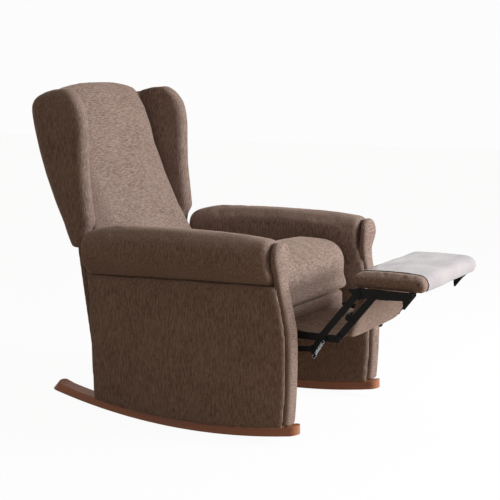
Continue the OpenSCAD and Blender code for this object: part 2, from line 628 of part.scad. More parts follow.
// Outside back between the wings, and the panel that goes on down behind the seat
panel_half = wing_out - wing_corner - seat_gap;
function outside_ring(z) = let (e = crest_in(z))
    [for (p = [[-1, 1], [-1, 0.4], [-0.97, 0.05], [-0.5, 0], [0, 0],
               [0.5, 0], [0.97, 0.05], [1, 0.4], [1, 1]])
        [p[0] * panel_half, (1 - p[1]) * (back_y(back_r, z) - e) + p[1] * back_y(frame_r + 1, z), z]];
module outside_back() color(fabric_colour) mirror([0, 0, 1])
    loft([for (z = concat([580, 640, 720, 800, 880, 960, 1030], [for (d = [39, 21, 9, 1]) wing_top_z - d]))
        [for (p = outside_ring(z)) [p[0], p[1], -p[2]]]]);
lower_half = arm_in - 6;
module lower_back() color(fabric_colour) mirror([0, 0, 1])
    loft([for (s = [[160, 6], [164, 2], [174, 0], [300, 0], [430, 0], [560, 0], [571, 2], [576, 6]])
        [for (p = [[-1, 1], [-1, 0.35], [-0.98, 0.08], [-0.5, 0], [0.5, 0], [0.98, 0.08], [1, 0.35], [1, 1]])
            [p[0] * lower_half, lower_y(s[0]) - s[1] * (1 - p[1]) - p[1] * lower_t, -s[0]]]]);

// Covered sides that run forward from the lower back, between the arms
return_t = 13;
return_y = 345;
function return_front(z) = max(return_y - 6, back_y(back_rear_r, z) + 1);
function return_outline(e) = concat(
    [[return_y + e, 166 + e]],
    [for (z = [300, 430, 490, 510, 535]) [return_front(z) + e, z]],
    [[return_front(566) + e, 566 - e]],
    [for (z = [566 - e, 300, 166 + e]) [lower_y(z) - lower_t - seat_gap, z]]
);
module lower_side() color(fabric_colour) loft([for (s = [[0, 3], [3, 1], [return_t - 3, 0], [return_t, 2]])
    [for (p = return_outline(s[1])) [lower_half - s[0], p[0], p[1]]]]);

// Steel bracket from the back's pivot to the side of the back frame
bracket_x = control_x;
stile_screws = [for (a = [-40.3, -38.2, -36.2]) on_back(frame_r - back_rail_t / 2, a)];
module back_bracket() color(steel_colour) difference() {
    union() {
        plate(bracket_x, link_t) {
            spot(back_pivot, 15);
            bar_outline(back_pivot, stile_screws[0], 22);
            bar_outline(stile_screws[0], stile_screws[1], 20);
            bar_outline(stile_screws[1], stile_screws[2], 20);
        }
        for (p = stile_screws) cross_pin(p, 7, stile_out + 0.02, bracket_x + 1);
    }
    cross_pin(back_pivot, rivet_r + pivot_play, bracket_x - 1, plate_x);
    for (p = stile_screws) cross_pin(p, 2.6, stile_out - 1, plate_x);
}
module back_screws() color(zinc_colour) both() for (p = stile_screws) {
    cross_pin(p, 2.5, stile_out + 0.3, bracket_x + link_t);
    rivet_head(p, bracket_x + link_t + 0.03, 1, 4.4);
}

// Linkage of the footrest
spring_top = pivot_d + [-18, -7];
spring_foot = pivot_g + [-5, -20.5];
stud_r = 2.2;
spring_x = 274;
module fold_arm() color(steel_colour) difference() {
    plate(arm_x, link_t) {
        bar_outline(pivot_a, pivot_c, link_w + 2);
        bar_outline(tube_p + [0, 16], tube_p, 24);
    }
    cross_pin(pivot_a, rivet_r + pivot_play, arm_x - 1, plate_x);
    for (p = [pivot_d, pivot_c]) cross_pin(p, rivet_r + fit_play, arm_x - 1, plate_x);
    cross_pin(tube_p, tube_r + fit_play, arm_x - 1, plate_x);
}
tube_r = 8;
tube_wall = 1.5;
tube_p = pivot_a - [62, 20];
module torque_tube() color(steel_colour) difference() {
    cross_pin(tube_p, tube_r, -arm_x - link_t, arm_x + link_t);
    cross_pin(tube_p, tube_r - tube_wall, -arm_x - link_t - 1, arm_x + link_t + 1);
}
// Rivets that the fold arms hold: the rear bars outside, the front bars inside
module fold_arm_rivets() color(zinc_colour) both() {
    rivet(pivot_d, arm_x, rear_x + link_t);
    rivet(pivot_c, front_x, arm_x + link_t);
    sleeve(pivot_d, arm_x + link_t, rear_x);
    sleeve(pivot_c, front_x + link_t, arm_x);
}
module front_bar() color(steel_colour) difference() {
    plate(front_x, link_t) bar_outline(pivot_c, pivot_f, link_w);
    for (p = [pivot_c, pivot_f]) cross_pin(p, rivet_r + pivot_play, front_x - 1, front_x + link_t + 1);
    cross_pin(pivot_h, rivet_r + fit_play, front_x - 1, front_x + link_t + 1);
}
module rear_bar() color(steel_colour) difference() {
    plate(rear_x, link_t) {
        bar_outline(pivot_d, pivot_e, link_w, 0.3);
        bar_outline(pivot_d, pivot_g, link_w - 1, 0.3);
        bar_outline(pivot_d, spring_top, 12, 0.3);
    }
    cross_pin(spring_top, stud_r + fit_play, rear_x - 1, rear_x + link_t + 1);
    for (p = [pivot_d, pivot_e]) cross_pin(p, rivet_r + pivot_play, rear_x - 1, rear_x + link_t + 1);
    cross_pin(pivot_g, rivet_r + fit_play, rear_x - 1, rear_x + link_t + 1);
}
// The rear bar's own rivet at the open pivot, with a wide head over the control link's eye
module rear_bar_rivets() color(zinc_colour) both() {
    cross_pin(pivot_g, rivet_r, rear_x - 0.5, control_x + link_t + 0.5);
    sleeve(pivot_g, rear_x + link_t - 0.4, control_x);
    cross_pin(pivot_g, rivet_r + 1.4, rear_x - 0.35, rear_x - 0.05);
    rivet_head(pivot_g, control_x + link_t + 0.3, 1, 11.5);
    cross_pin(spring_top, stud_r, rear_x - 0.05, spring_x + 2.6);
    rivet_head(spring_top, spring_x + 2.4, 1, 3.4);
}
// Stud for the hold spring at the end of the control link
module control_stud() color(steel_colour) {
    cross_pin(spring_foot, stud_r, control_x + 0.5, spring_x + 2.6);
    rivet_head(spring_foot, spring_x + 2.4, 1, 3.4);
}
control_eye_r = rivet_r + control_play;
module control_link() color(steel_colour) difference() {
    plate(control_x, link_t) {
        bar_outline(pivot_b, pivot_g, link_w - 4);
        spot(pivot_g, control_eye_r + 5);
        spot(pivot_b, 12);
        spot(spring_foot, 7);
    }
    cross_pin(pivot_b, rivet_r + pivot_play, control_x - 1, plate_x);
    cross_pin(pivot_g, control_eye_r, control_x - 1, plate_x);
}

module control_links() both() {
    control_link();
    control_stud();
}

// Calf panel, riveted to the front bars
calf_lean = 23;
calf_up = [-sin(calf_lean), cos(calf_lean)];
calf_out = [-cos(calf_lean), -sin(calf_lean)];
calf_face = 27;
module calf_bracket() color(steel_colour) difference() {
    union() {
        plate(calf_x, link_t) polygon([
            for (p = [[-26, -29.5], [20, -29.5], [20, -8], [9, 10], [-12, 10], [-26, -8]])
                pivot_h + p[0] * calf_up + p[1] * calf_out
        ]);
        translate([calf_half - 22, 0, 0]) calf_frame()
            translate([0, -26, -calf_face - 2.5]) cube([calf_x - calf_half + 22.5, 46, 2.5]);
    }
    cross_pin(pivot_h, rivet_r + fit_play, calf_x - 1, calf_x + link_t + 1);
}
// Local axes of the calf panel: x across, y up the panel, z out of its padded face
module calf_frame() translate([0, pivot_h[0], pivot_h[1]]) rotate([90 + calf_lean, 0, 0]) children();
module calf_brackets() both() {
    calf_bracket();
    color(zinc_colour) rivet(pivot_h, calf_x, front_x + link_t, 5.5);
}
calf_board_t = 9;
module calf_board() color(frame_wood_colour) calf_frame()
    translate([-calf_half, -calf_len / 2, -calf_face]) cube([2 * calf_half, calf_len, calf_board_t]);
module calf_pad() color(fabric_colour) calf_frame()
    loft([for (s = [[0, 0], [4, -3], [calf_pad_t * 0.5, -4], [calf_pad_t * 0.8, 1], [calf_pad_t * 0.95, 10],
                    [calf_pad_t, 34]])
        [for (p = calf_outline(s[1])) [p[0], p[1], calf_board_t - calf_face + seat_gap + s[0]]]]);
function calf_outline(e) = [for (i = [0:31]) let (a = 360 * (i + 0.5) / 32)
    [(calf_half - e) * pow(abs(cos(a)), 0.22) * sign(cos(a)),
     (calf_len / 2 - e) * pow(abs(sin(a)), 0.35) * sign(sin(a))]];

// Cloth apron that bridges the gap from the seat's border to the calf panel's lower edge
apron_t = 3;
apron_rear_y = seat_front_y + 22 - 0.3 - border_t - seat_gap;
apron_line = [
    [apron_rear_y, 362], [-316, 354], [-343, 348], [-380, 343], [-415, 339.5], [-450, 337.5], [-486, 337]
];
module calf_apron() color(fabric_colour) loft([for (x = [-1, -0.5, 0, 0.5, 1])
    let (h = calf_half, drop = 1.2 * (1 - x * x)) concat(
        [for (p = apron_line) [x * h, p[0], p[1] - drop]],
        [for (i = [len(apron_line) - 1:-1:0]) [x * h, apron_line[i][0], apron_line[i][1] - apron_t - drop]]
    )]);

// Footrest
module footrest_bracket() color(steel_colour) difference() {
    union() {
        plate(arm_x, link_t) polygon([
            [foot_rear_y - 2, foot_z - seat_gap], [foot_rear_y + 2, foot_z - 6],
            [foot_rear_y - 34, foot_z - 34],
            [foot_rear_y - 62, foot_z - 27], [pivot_f[0] - 30, foot_z - 27], [pivot_f[0] - 116, foot_z - 23],
            [pivot_f[0] - 130, foot_z - 8],
            [pivot_f[0] - 128, foot_z - seat_gap]
        ]);
        plate(arm_x - 20, link_t) polygon([
            [pivot_f[0] - 84, foot_z - 1.5], [pivot_f[0] - 89, foot_z - 54], [pivot_f[0] - 94, foot_z - 54],
            [pivot_f[0] - 130, foot_z - 8], [pivot_f[0] - 130, foot_z - 1.5]
        ]);
        translate([arm_x - 20, foot_front_y + 40, foot_z - seat_gap - 2.5])
            cube([20 + link_t / 2, foot_d - 56, 2.5]);
    }
    for (p = [pivot_e, pivot_f]) cross_pin(p, rivet_r + fit_play, arm_x - 1, plate_x);
    for (y = foot_screw_y) translate([arm_x - 11, y, foot_z - 10]) cylinder(r = 2.6, h = 12);
}
foot_screw_y = [foot_rear_y - 40, foot_mid_y, foot_front_y + 58];
// Rivets that the footrest's brackets hold: rear bars outside, front bars inside
module footrest_rivets() color(zinc_colour) both() {
    rivet(pivot_e, arm_x, rear_x + link_t);
    rivet(pivot_f, front_x, arm_x + link_t);
    sleeve(pivot_e, arm_x + link_t, rear_x);
    sleeve(pivot_f, front_x + link_t, arm_x);
}
module footrest_screws() color(zinc_colour) both() for (y = foot_screw_y)
    translate([arm_x - 11, y, foot_z - seat_gap - 2.5]) {
        cylinder(r = 2.5, h = 2.4 + seat_gap);
        translate([0, 0, -2.2]) cylinder(r1 = 3.2, r2 = 4.4, h = 2.15);
    }
module footrest_board() color(frame_wood_colour)
    translate([-foot_half + 6, foot_front_y + 6, foot_z])
        cube([2 * foot_half - 12, foot_d - 12, foot_board_t]);
// Side view of the padding from the rear lower edge over the top to the front lower edge
foot_edge = 17;
function foot_crown(t) = 5 * swell(t);
function foot_over(g) = let (
        z0 = foot_z + foot_board_t + seat_gap, top = foot_z + foot_board_t + foot_pad_t
    ) concat(
    [[foot_rear_y - 2 + g, z0], [foot_rear_y + g, z0 + 8]],
    [for (a = [20:25:90])
        [foot_rear_y - foot_edge + (foot_edge + g) * cos(a), top - foot_edge + (foot_edge + g) * sin(a)]],
    [for (t = [0.12:0.19:0.9])
        [foot_rear_y - foot_edge - (foot_d - 2 * foot_edge) * t, top + g + foot_crown(t)]],
    [for (a = [95:25:160])
        [foot_front_y + foot_edge + (foot_edge + g) * cos(a), top - foot_edge + (foot_edge + g) * sin(a)]],
    [[foot_front_y - g, z0 + 8], [foot_front_y + 2 - g, z0]]
);
function foot_ring(x, e) = let (pts = foot_over(0), zc = foot_z + foot_board_t + 14)
    [for (p = pts) [x, foot_mid_y + (p[0] - foot_mid_y) * (1 - e / 127),
        max(foot_z + foot_board_t + seat_gap, zc + (p[1] - zc) * (1 - e / 22))]];
foot_x = [[0, 14], [3, 7], [9, 2.5], [18, 0]];
module footrest_pad() color(fabric_colour) loft(concat(
    [for (s = foot_x) foot_ring(-foot_half + s[0], s[1])], [foot_ring(-100, 0), foot_ring(100, 0)],
    [for (i = [3:-1:0]) foot_ring(foot_half - foot_x[i][0], foot_x[i][1])]
));
// Clear sheet over the padding
cover_x0 = -208;
cover_x1 = 234;
cover_t = 0.8;
module footrest_cover() color(vinyl_colour) {
    low = foot_over(seat_gap);
    high = foot_over(seat_gap + cover_t);
    n = len(low);
    polyhedron(
        points = [for (x = [cover_x0, cover_x1]) each [for (i = [0:n - 1]) each [
            [x, low[i][0], low[i][1]], [x, high[i][0], high[i][1]]]]],
        faces = concat(
            [for (i = [0:n - 2]) each [
                [2 * i, 2 * i + 1, 2 * i + 3, 2 * i + 2],
                [2 * n + 2 * i, 2 * n + 2 * i + 2, 2 * n + 2 * i + 3, 2 * n + 2 * i + 1],
                [2 * i, 2 * i + 2, 2 * n + 2 * i + 2, 2 * n + 2 * i],
                [2 * i + 1, 2 * n + 2 * i + 1, 2 * n + 2 * i + 3, 2 * i + 3]
            ]],
            [[0, 2 * n, 2 * n + 1, 1], [2 * n - 2, 2 * n - 1, 4 * n - 1, 4 * n - 2]]
        )
    );
}
module footrest_bumpers() color(web_colour) both()
    translate([arm_x - 60, foot_rear_y - 16, foot_z - seat_gap - 8]) cylinder(r1 = 6, r2 = 8, h = 8);

// Small tension spring from the rear bar's stud to the control link's stud, with a long lower loop
wire_r = 0.9;
spring_r = 4.4;
spring_turns = 12;
loop_run = 3;          // room below the lower stud in its loop
eye_r = stud_r + wire_r + 0.6;
loop_r = stud_r + wire_r + 2.1;
spring_run = spring_foot - spring_top;
function spring_path() = let (
        z0 = 8, z1 = norm(spring_run) - 9, count = spring_turns * 8
    ) concat(
        [for (i = [0:5]) let (a = 130 + i * 45) [0, eye_r * cos(a), eye_r * sin(a)]],
        [[0, 3.9, 3], [0, 4.3, 6]],
        [for (i = [0:count]) let (a = i * 45 + 90)
            [spring_r * cos(a), spring_r * sin(a), z0 + (z1 - z0) * i / count]],
        [[0, loop_r, z1 + 3]],
        [for (i = [0:4]) [0, loop_r * cos(i * 45), z1 + 9 + loop_run + loop_r * sin(i * 45)]],
        [[0, -loop_r, z1 + 4.5]]
    );
// Least gap between stretches of a wound wire that lie half a turn or more apart
function least_gap(path, r) = min([
    for (i = [0:len(path) - 5], j = [i + 4:len(path) - 1]) norm(path[i] - path[j])
]) - 2 * r;
module hold_spring() color(zinc_colour) {
    echo(spring_least_gap = least_gap(spring_path(), wire_r));
    translate([spring_x, spring_top[0], spring_top[1]])
        rotate([atan2(spring_run[1], spring_run[0]) - 90, 0, 0]) tube(spring_path(), wire_r);
}
// Tube of six sides along a path of points
module tube(path, r) loft([for (i = [0:len(path) - 1]) let (
        a = path[max(0, i - 1)], b = path[min(len(path) - 1, i + 1)], t = (b - a) / norm(b - a),
        u0 = cross(t, [0.31, 0.17, 1]), u = u0 / norm(u0), v = cross(t, u)
    ) [for (k = [0:5]) path[i] + r * (cos(60 * k) * u + sin(60 * k) * v)]]);

centred() right() rocker();  // rocker_right
centred() left() rocker();  // rocker_left
centred() rocker_screws();
centred() cross_rails();
centred() both() arm_rails();
centred() both() arm_posts();
centred() both() arm_rear_cover();  // arm_rear_covers
centred() right() arm_outer_panel();  // arm_outer_panel_right
centred() left() arm_outer_panel();  // arm_outer_panel_left
centred() right() arm_inner_panel();  // arm_inner_panel_right
centred() left() arm_inner_panel();  // arm_inner_panel_left
centred() right() arm_roll();  // arm_roll_right
centred() left() arm_roll();  // arm_roll_left
centred() right() arm_facing();  // arm_facing_right
centred() left() arm_facing();  // arm_facing_left
centred() both() mechanism_rail();  // mechanism_rails
centred() right() mechanism_plate();  // mechanism_plate_right
centred() left() mechanism_plate();  // mechanism_plate_left
centred() mechanism_fixings();
centred() seat_bearers();
centred() seat_frame();
centred() seat_webbing();
centred() seat_cushion();
centred() seat_front_border();
centred() back_frame();
centred() back_webbing();
centred() back_cushion();
centred() right() wing();  // wing_right
centred() left() wing();  // wing_left
centred() outside_back();
centred() lower_back();
centred() right() lower_side();  // lower_side_right
centred() left() lower_side();  // lower_side_left
centred() right() back_bracket();  // back_bracket_right
centred() left() back_bracket();  // back_bracket_left
centred() back_screws();
centred() right() fold_arm();  // fold_arm_right
centred() left() fold_arm();  // fold_arm_left
centred() torque_tube();
centred() fold_arm_rivets();
centred() right() front_bar();  // front_bar_right
centred() left() front_bar();  // front_bar_left
centred() calf_brackets();
centred() calf_board();
centred() calf_pad();
centred() calf_apron();
centred() right() rear_bar();  // rear_bar_right
centred() left() rear_bar();  // rear_bar_left
centred() rear_bar_rivets();
centred() control_links();
centred() right() hold_spring();  // hold_spring_right
centred() left() hold_spring();  // hold_spring_left
centred() right() footrest_bracket();  // footrest_bracket_right
centred() left() footrest_bracket();  // footrest_bracket_left
centred() footrest_rivets();
centred() footrest_board();
centred() footrest_pad();
centred() footrest_cover();
centred() footrest_screws();
centred() footrest_bumpers();
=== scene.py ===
"""Looks of the nursing chair: sewn covers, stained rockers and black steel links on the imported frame."""

import json
import logging
import math
from collections.abc import Callable, Sequence
from dataclasses import dataclass
from enum import Enum
from typing import Any

import bmesh
import bpy
import numpy as np
from mathutils import Matrix, Vector
from mathutils.bvhtree import BVHTree

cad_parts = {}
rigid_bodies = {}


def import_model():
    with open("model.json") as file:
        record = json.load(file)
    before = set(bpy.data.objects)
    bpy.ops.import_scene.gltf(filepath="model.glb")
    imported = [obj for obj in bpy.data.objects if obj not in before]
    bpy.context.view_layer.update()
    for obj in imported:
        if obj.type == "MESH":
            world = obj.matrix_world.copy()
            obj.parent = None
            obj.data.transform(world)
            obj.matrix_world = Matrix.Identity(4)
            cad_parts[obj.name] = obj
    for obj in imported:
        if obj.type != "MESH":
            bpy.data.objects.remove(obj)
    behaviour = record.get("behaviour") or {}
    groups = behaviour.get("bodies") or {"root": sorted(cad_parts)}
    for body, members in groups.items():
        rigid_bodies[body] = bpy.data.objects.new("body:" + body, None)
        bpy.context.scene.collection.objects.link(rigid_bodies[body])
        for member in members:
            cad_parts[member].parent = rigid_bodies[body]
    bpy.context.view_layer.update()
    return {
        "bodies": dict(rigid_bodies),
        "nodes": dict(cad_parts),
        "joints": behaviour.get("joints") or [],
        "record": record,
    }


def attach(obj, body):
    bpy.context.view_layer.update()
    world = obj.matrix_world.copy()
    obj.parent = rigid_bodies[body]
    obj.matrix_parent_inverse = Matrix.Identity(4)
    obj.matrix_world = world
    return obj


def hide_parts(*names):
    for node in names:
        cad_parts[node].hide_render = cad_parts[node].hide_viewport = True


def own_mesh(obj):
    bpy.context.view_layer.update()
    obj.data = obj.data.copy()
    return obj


LOG = logging.getLogger("nursing_chair")
MM = 0.001
CENTRE_Y = 0.064934  # the rockers' floor contact, along Y
ROCKER_RADIUS = 2.3  # of their lower faces
CLOTH_FRAMES = 20
SETTLE_PASSES = 2  # evening out after a cover has been moved
SHARP_ANGLE = 50  # degrees: flatter edges than this aren't broken
WOOD_EDGE = 1.0 * MM  # this and the next four: widths of broken edges
RAIL_EDGE = 1.5 * MM
BAR_EDGE = 0.45 * MM
BRACKET_EDGE = 0.4 * MM
RUBBER_EDGE = 0.8 * MM

Colour = tuple[float, float, float, float]
Points = np.ndarray


def srgb(code: str) -> Colour:
    """Turn a screen colour into the renderer's linear one.

    Args:
        code: The colour as six hex digits.

    Returns:
        Red, green, blue and alpha from 0 to 1.
    """
    parts = (int(code[i:i + 2], 16) / 255 for i in (0, 2, 4))
    red, green, blue = (c / 12.92 if c <= 0.04045 else ((c + 0.055) / 1.055) ** 2.4 for c in parts)
    return red, green, blue, 1.0


class Axis(Enum):
    """Direction that a fabric's slubs or a board's grain runs along."""

    X = 0
    Y = 1
    Z = 2


# Finishes


def add(tree: bpy.types.NodeTree, kind: str, inputs: dict[Any, Any] | None = None,
        stops: Sequence[tuple[float, str]] = (), **settings: Any) -> bpy.types.Node:
    """Add one node to a tree, with its settings, constants and links.

    Args:
        tree: The material's node tree.
        kind: The node's type, without its "ShaderNode" prefix.
        inputs: Socket name or number to a constant or to another node's output socket.
        stops: Positions and hex colours, where the node is a colour ramp.
        settings: Properties of the node itself.

    Returns:
        The new node.
    """
    node = tree.nodes.new("ShaderNode" + kind)
    for name, value in settings.items():
        setattr(node, name, value)
    for key, value in (inputs or {}).items():
        if isinstance(value, bpy.types.NodeSocket):
            tree.links.new(value, node.inputs[key])
        else:
            node.inputs[key].default_value = value
    if stops:
        band = node.color_ramp.elements
        while len(band) < len(stops):
            band.new(0.5)
        for element, (position, colour) in zip(band, stops):
            element.position = position
            element.color = srgb(colour)
    return node


def along(axis: Axis, length: float, across: float) -> tuple[float, float, float]:
    """Pattern sizes for something long along one axis.

    Args:
        axis: The long direction.
        length: Size along it, in metres.
        across: Size along the two others.

    Returns:
        The sizes along X, Y and Z.
    """
    sizes = [across, across, across]
    sizes[axis.value] = length
    return sizes[0], sizes[1], sizes[2]


@dataclass(frozen=True)
class Pattern:
    """One layer of a finish, such as slubs, grain or dust: soft blotches of a real size.

    Attributes:
        sizes: About one blotch along X, Y and Z, in metres.
        detail: Octaves.
        rough: Strength of the finer octaves.
        bend: How far the blotches wander.
    """

    sizes: tuple[float, float, float]
    detail: float = 2.0
    rough: float = 0.5
    bend: float = 0.0

    def draw(self, tree: bpy.types.NodeTree,
             where: bpy.types.NodeSocket | None = None) -> bpy.types.NodeSocket:
        """Draw the layer.

        Args:
            tree: The material's node tree.
            where: Coordinates in metres, or nothing for the object's own.

        Returns:
            A socket from 0 to 1.
        """
        if where is None:
            where = add(tree, "TexCoord").outputs["Object"]
        scale = tuple(1 / size for size in self.sizes)
        placed = add(tree, "Mapping", {"Vector": where, "Scale": scale}).outputs[0]
        return add(tree, "TexNoise", {"Vector": placed, "Scale": 1.0, "Detail": self.detail,
                                      "Roughness": self.rough, "Distortion": self.bend}).outputs[0]


def even(size: float, detail: float = 2.0, rough: float = 0.5) -> Pattern:
    """Make a pattern of one size in all directions."""
    return Pattern((size, size, size), detail, rough)


def stain(tree: bpy.types.NodeTree, base: Any, pattern: bpy.types.NodeSocket, span: tuple[float, float],
          shares: tuple[float, float], colour: str) -> bpy.types.NodeSocket:
    """Let another colour show where a pattern is strong or weak.

    Args:
        tree: The material's node tree.
        base: The colour so far.
        pattern: The pattern's socket.
        span: Start and end of the pattern's values that count.
        shares: The other colour's share at that start and end.
        colour: The other colour, as six hex digits.

    Returns:
        The colour socket.
    """
    share = add(tree, "MapRange", {"Value": pattern, 1: span[0], 2: span[1], 3: shares[0], 4: shares[1]})
    return add(tree, "Mix", {0: share.outputs[0], 6: base, 7: srgb(colour)}, data_type="RGBA").outputs[2]


def blank(name: str) -> tuple[bpy.types.Material, bpy.types.NodeTree]:
    """Make an empty node material.

    Args:
        name: The material's name.

    Returns:
        The material and its tree.
    """
    material = bpy.data.materials.new(name)
    material.use_nodes = True
    material.node_tree.nodes.clear()
    return material, material.node_tree


def dress(tree: bpy.types.NodeTree, base: bpy.types.NodeSocket, pattern: bpy.types.NodeSocket,
          rough: tuple[float, float, float, float], height: bpy.types.NodeSocket, depth: float,
          strength: float, constants: dict[str, Any] | None = None) -> None:
    """Wire colour, roughness and relief into the shader of a finish.

    Args:
        tree: The material's node tree.
        base: Base colour socket.
        pattern: The pattern that the roughness follows.
        rough: Start and end of that pattern's values that count, and the roughness at both.
        height: Relief from 0 to 1.
        depth: Depth of the relief in metres.
        strength: Strength of the relief.
        constants: Values set on the shader's own sockets.
    """
    low, high, at_low, at_high = rough
    roughness = add(tree, "MapRange", {"Value": pattern, 1: low, 2: high, 3: at_low, 4: at_high}).outputs[0]
    bump = add(tree, "Bump", {"Height": height, "Strength": strength, "Distance": depth}).outputs[0]
    shader = add(tree, "BsdfPrincipled", {"Base Color": base, "Roughness": roughness, "Normal": bump,
                                          **(constants or {})})
    add(tree, "OutputMaterial", {0: shader.outputs[0]})


@dataclass(frozen=True)
class Chenille:
    """Heavy chenille, woven with thick soft slubs and piece-dyed.

    The eye sees streaks of dark and pale yarn on a taupe ground, matt, with a soft glow at grazing angles.
    """

    name: str
    slubs: Axis
    dark: str = "58453C"
    ground: str = "88766F"
    pale: str = "A8988F"
    glow: str = "D8C4B4"
    slub: tuple[float, float] = (21 * MM, 2.4 * MM)
    fleck: tuple[float, float] = (5 * MM, 1.8 * MM)
    yarn: tuple[float, float] = (2.6 * MM, 1.3 * MM)
    nap: float = 110 * MM
    pile: float = 0.9 * MM

    def build(self) -> bpy.types.Material:
        """Make the material.

        Returns:
            The material.
        """
        material, tree = blank(self.name)
        streaks = Pattern(along(self.slubs, *self.slub), detail=3.0, rough=0.6, bend=0.35).draw(tree)
        flecks = Pattern(along(self.slubs, *self.fleck), detail=1.0, bend=0.2).draw(tree)
        nap = even(self.nap).draw(tree)
        yarns = Pattern(along(self.slubs, *self.yarn), rough=0.65).draw(tree)
        tones = ((0.32, self.dark), (0.5, self.ground), (0.68, self.pale))
        base = add(tree, "ValToRGB", {"Fac": streaks}, stops=tones).outputs[0]
        base = stain(tree, base, flecks, (0.55, 0.68), (0.0, 0.65), self.dark)
        base = stain(tree, base, nap, (0.3, 0.7), (0.0, 0.2), self.pale)
        base = stain(tree, base, yarns, (0.35, 0.6), (0.3, 0.0), self.dark)
        relief = add(tree, "Mix", {0: 0.35, 6: yarns, 7: streaks}, data_type="RGBA").outputs[2]
        dress(tree, base, yarns, (0.3, 0.7, 0.98, 0.84), relief, depth=self.pile, strength=0.5, constants={
            "Sheen Weight": 0.36, "Sheen Roughness": 0.42, "Sheen Tint": srgb(self.glow),
            "Specular IOR Level": 0.18})
        return material


@dataclass(frozen=True)
class BentBeech:
    """Steam-bent beech, stained reddish brown under a satin lacquer.

    The eye sees long grain that follows the bend, and paler wood where the stain has rubbed off the edges.
    Rays and pores are drawn a few times coarser than real ones, so that they show.
    """

    name: str
    dark: str = "552A1A"
    ground: str = "8A4B31"
    pale: str = "B06C49"
    rubbed: str = "C29070"
    ring: tuple[float, float, float] = (7 * MM, 180 * MM, 4.5 * MM)
    ray: tuple[float, float, float] = (0.9 * MM, 5 * MM, 1.2 * MM)
    pore: tuple[float, float, float] = (0.5 * MM, 22 * MM, 0.5 * MM)
    board: tuple[float, float, float] = (60 * MM, 240 * MM, 60 * MM)
    groove: float = 0.25 * MM

    @staticmethod
    def follow_bend(tree: bpy.types.NodeTree) -> bpy.types.NodeSocket:
        """Coordinates that run along the rocker's curve.

        Args:
            tree: The material's node tree.

        Returns:
            Across the rocker, along its curve, and away from the curve's centre, in metres.
        """
        parts = add(tree, "SeparateXYZ", {0: add(tree, "TexCoord").outputs["Object"]}).outputs
        ahead = add(tree, "Math", {0: parts[1], 1: CENTRE_Y}, operation="SUBTRACT").outputs[0]
        down = add(tree, "Math", {0: ROCKER_RADIUS, 1: parts[2]}, operation="SUBTRACT").outputs[0]
        turn = add(tree, "Math", {0: ahead, 1: down}, operation="ARCTAN2").outputs[0]
        run = add(tree, "Math", {0: turn, 1: ROCKER_RADIUS}, operation="MULTIPLY").outputs[0]
        square = add(tree, "Math", {0: ahead, 1: ahead}, operation="MULTIPLY").outputs[0]
        squares = add(tree, "Math", {0: down, 1: down, 2: square}, operation="MULTIPLY_ADD").outputs[0]
        radius = add(tree, "Math", {0: squares}, operation="SQRT").outputs[0]
        return add(tree, "CombineXYZ", {0: parts[0], 1: run, 2: radius}).outputs[0]

    def build(self) -> bpy.types.Material:
        """Make the material.

        Returns:
            The material.
        """
        material, tree = blank(self.name)
        where = self.follow_bend(tree)
        rings = Pattern(self.ring, detail=4.0, rough=0.6, bend=0.6).draw(tree, where)
        rays = Pattern(self.ray, detail=1.0).draw(tree, where)
        pores = Pattern(self.pore, rough=0.6).draw(tree, where)
        broad = Pattern(self.board, detail=1.0).draw(tree, where)
        worn = add(tree, "NewGeometry").outputs["Pointiness"]
        tones = ((0.3, self.dark), (0.5, self.ground), (0.72, self.pale))
        base = add(tree, "ValToRGB", {"Fac": rings}, stops=tones).outputs[0]
        base = stain(tree, base, rays, (0.58, 0.7), (0.0, 0.3), self.dark)
        base = stain(tree, base, pores, (0.3, 0.45), (0.35, 0.0), self.dark)
        base = stain(tree, base, broad, (0.35, 0.65), (0.0, 0.25), self.pale)
        base = stain(tree, base, worn, (0.52, 0.58), (0.0, 0.35), self.rubbed)
        relief = add(tree, "Mix", {0: 0.5, 6: pores, 7: rings}, data_type="RGBA").outputs[2]
        dress(tree, base, broad, (0.3, 0.7, 0.44, 0.56), relief, depth=self.groove, strength=0.3, constants={
            "Coat Weight": 0.08, "Coat Roughness": 0.3, "Specular IOR Level": 0.35})
        return material


@dataclass(frozen=True)
class SawnPine:
    """Bare planed pine and board: pale, matt, with wide straight grain and a few resin streaks."""

    name: str
    grain: Axis
    dark: str = "B08A58"
    ground: str = "C9A878"
    pale: str = "DCC39A"
    resin: str = "9A7646"
    ring: tuple[float, float] = (160 * MM, 7 * MM)
    fibre: tuple[float, float] = (18 * MM, 0.7 * MM)
    groove: float = 0.2 * MM

    def build(self) -> bpy.types.Material:
        """Make the material.

        Returns:
            The material.
        """
        material, tree = blank(self.name)
        rings = Pattern(along(self.grain, *self.ring), detail=3.0, rough=0.55, bend=0.5).draw(tree)
        fibre = Pattern(along(self.grain, *self.fibre), rough=0.6).draw(tree)
        tones = ((0.34, self.dark), (0.5, self.ground), (0.66, self.pale))
        base = add(tree, "ValToRGB", {"Fac": rings}, stops=tones).outputs[0]
        base = stain(tree, base, fibre, (0.3, 0.5), (0.3, 0.0), self.resin)
        dress(tree, base, fibre, (0.3, 0.7, 0.78, 0.66), fibre, depth=self.groove, strength=0.3)
        return material


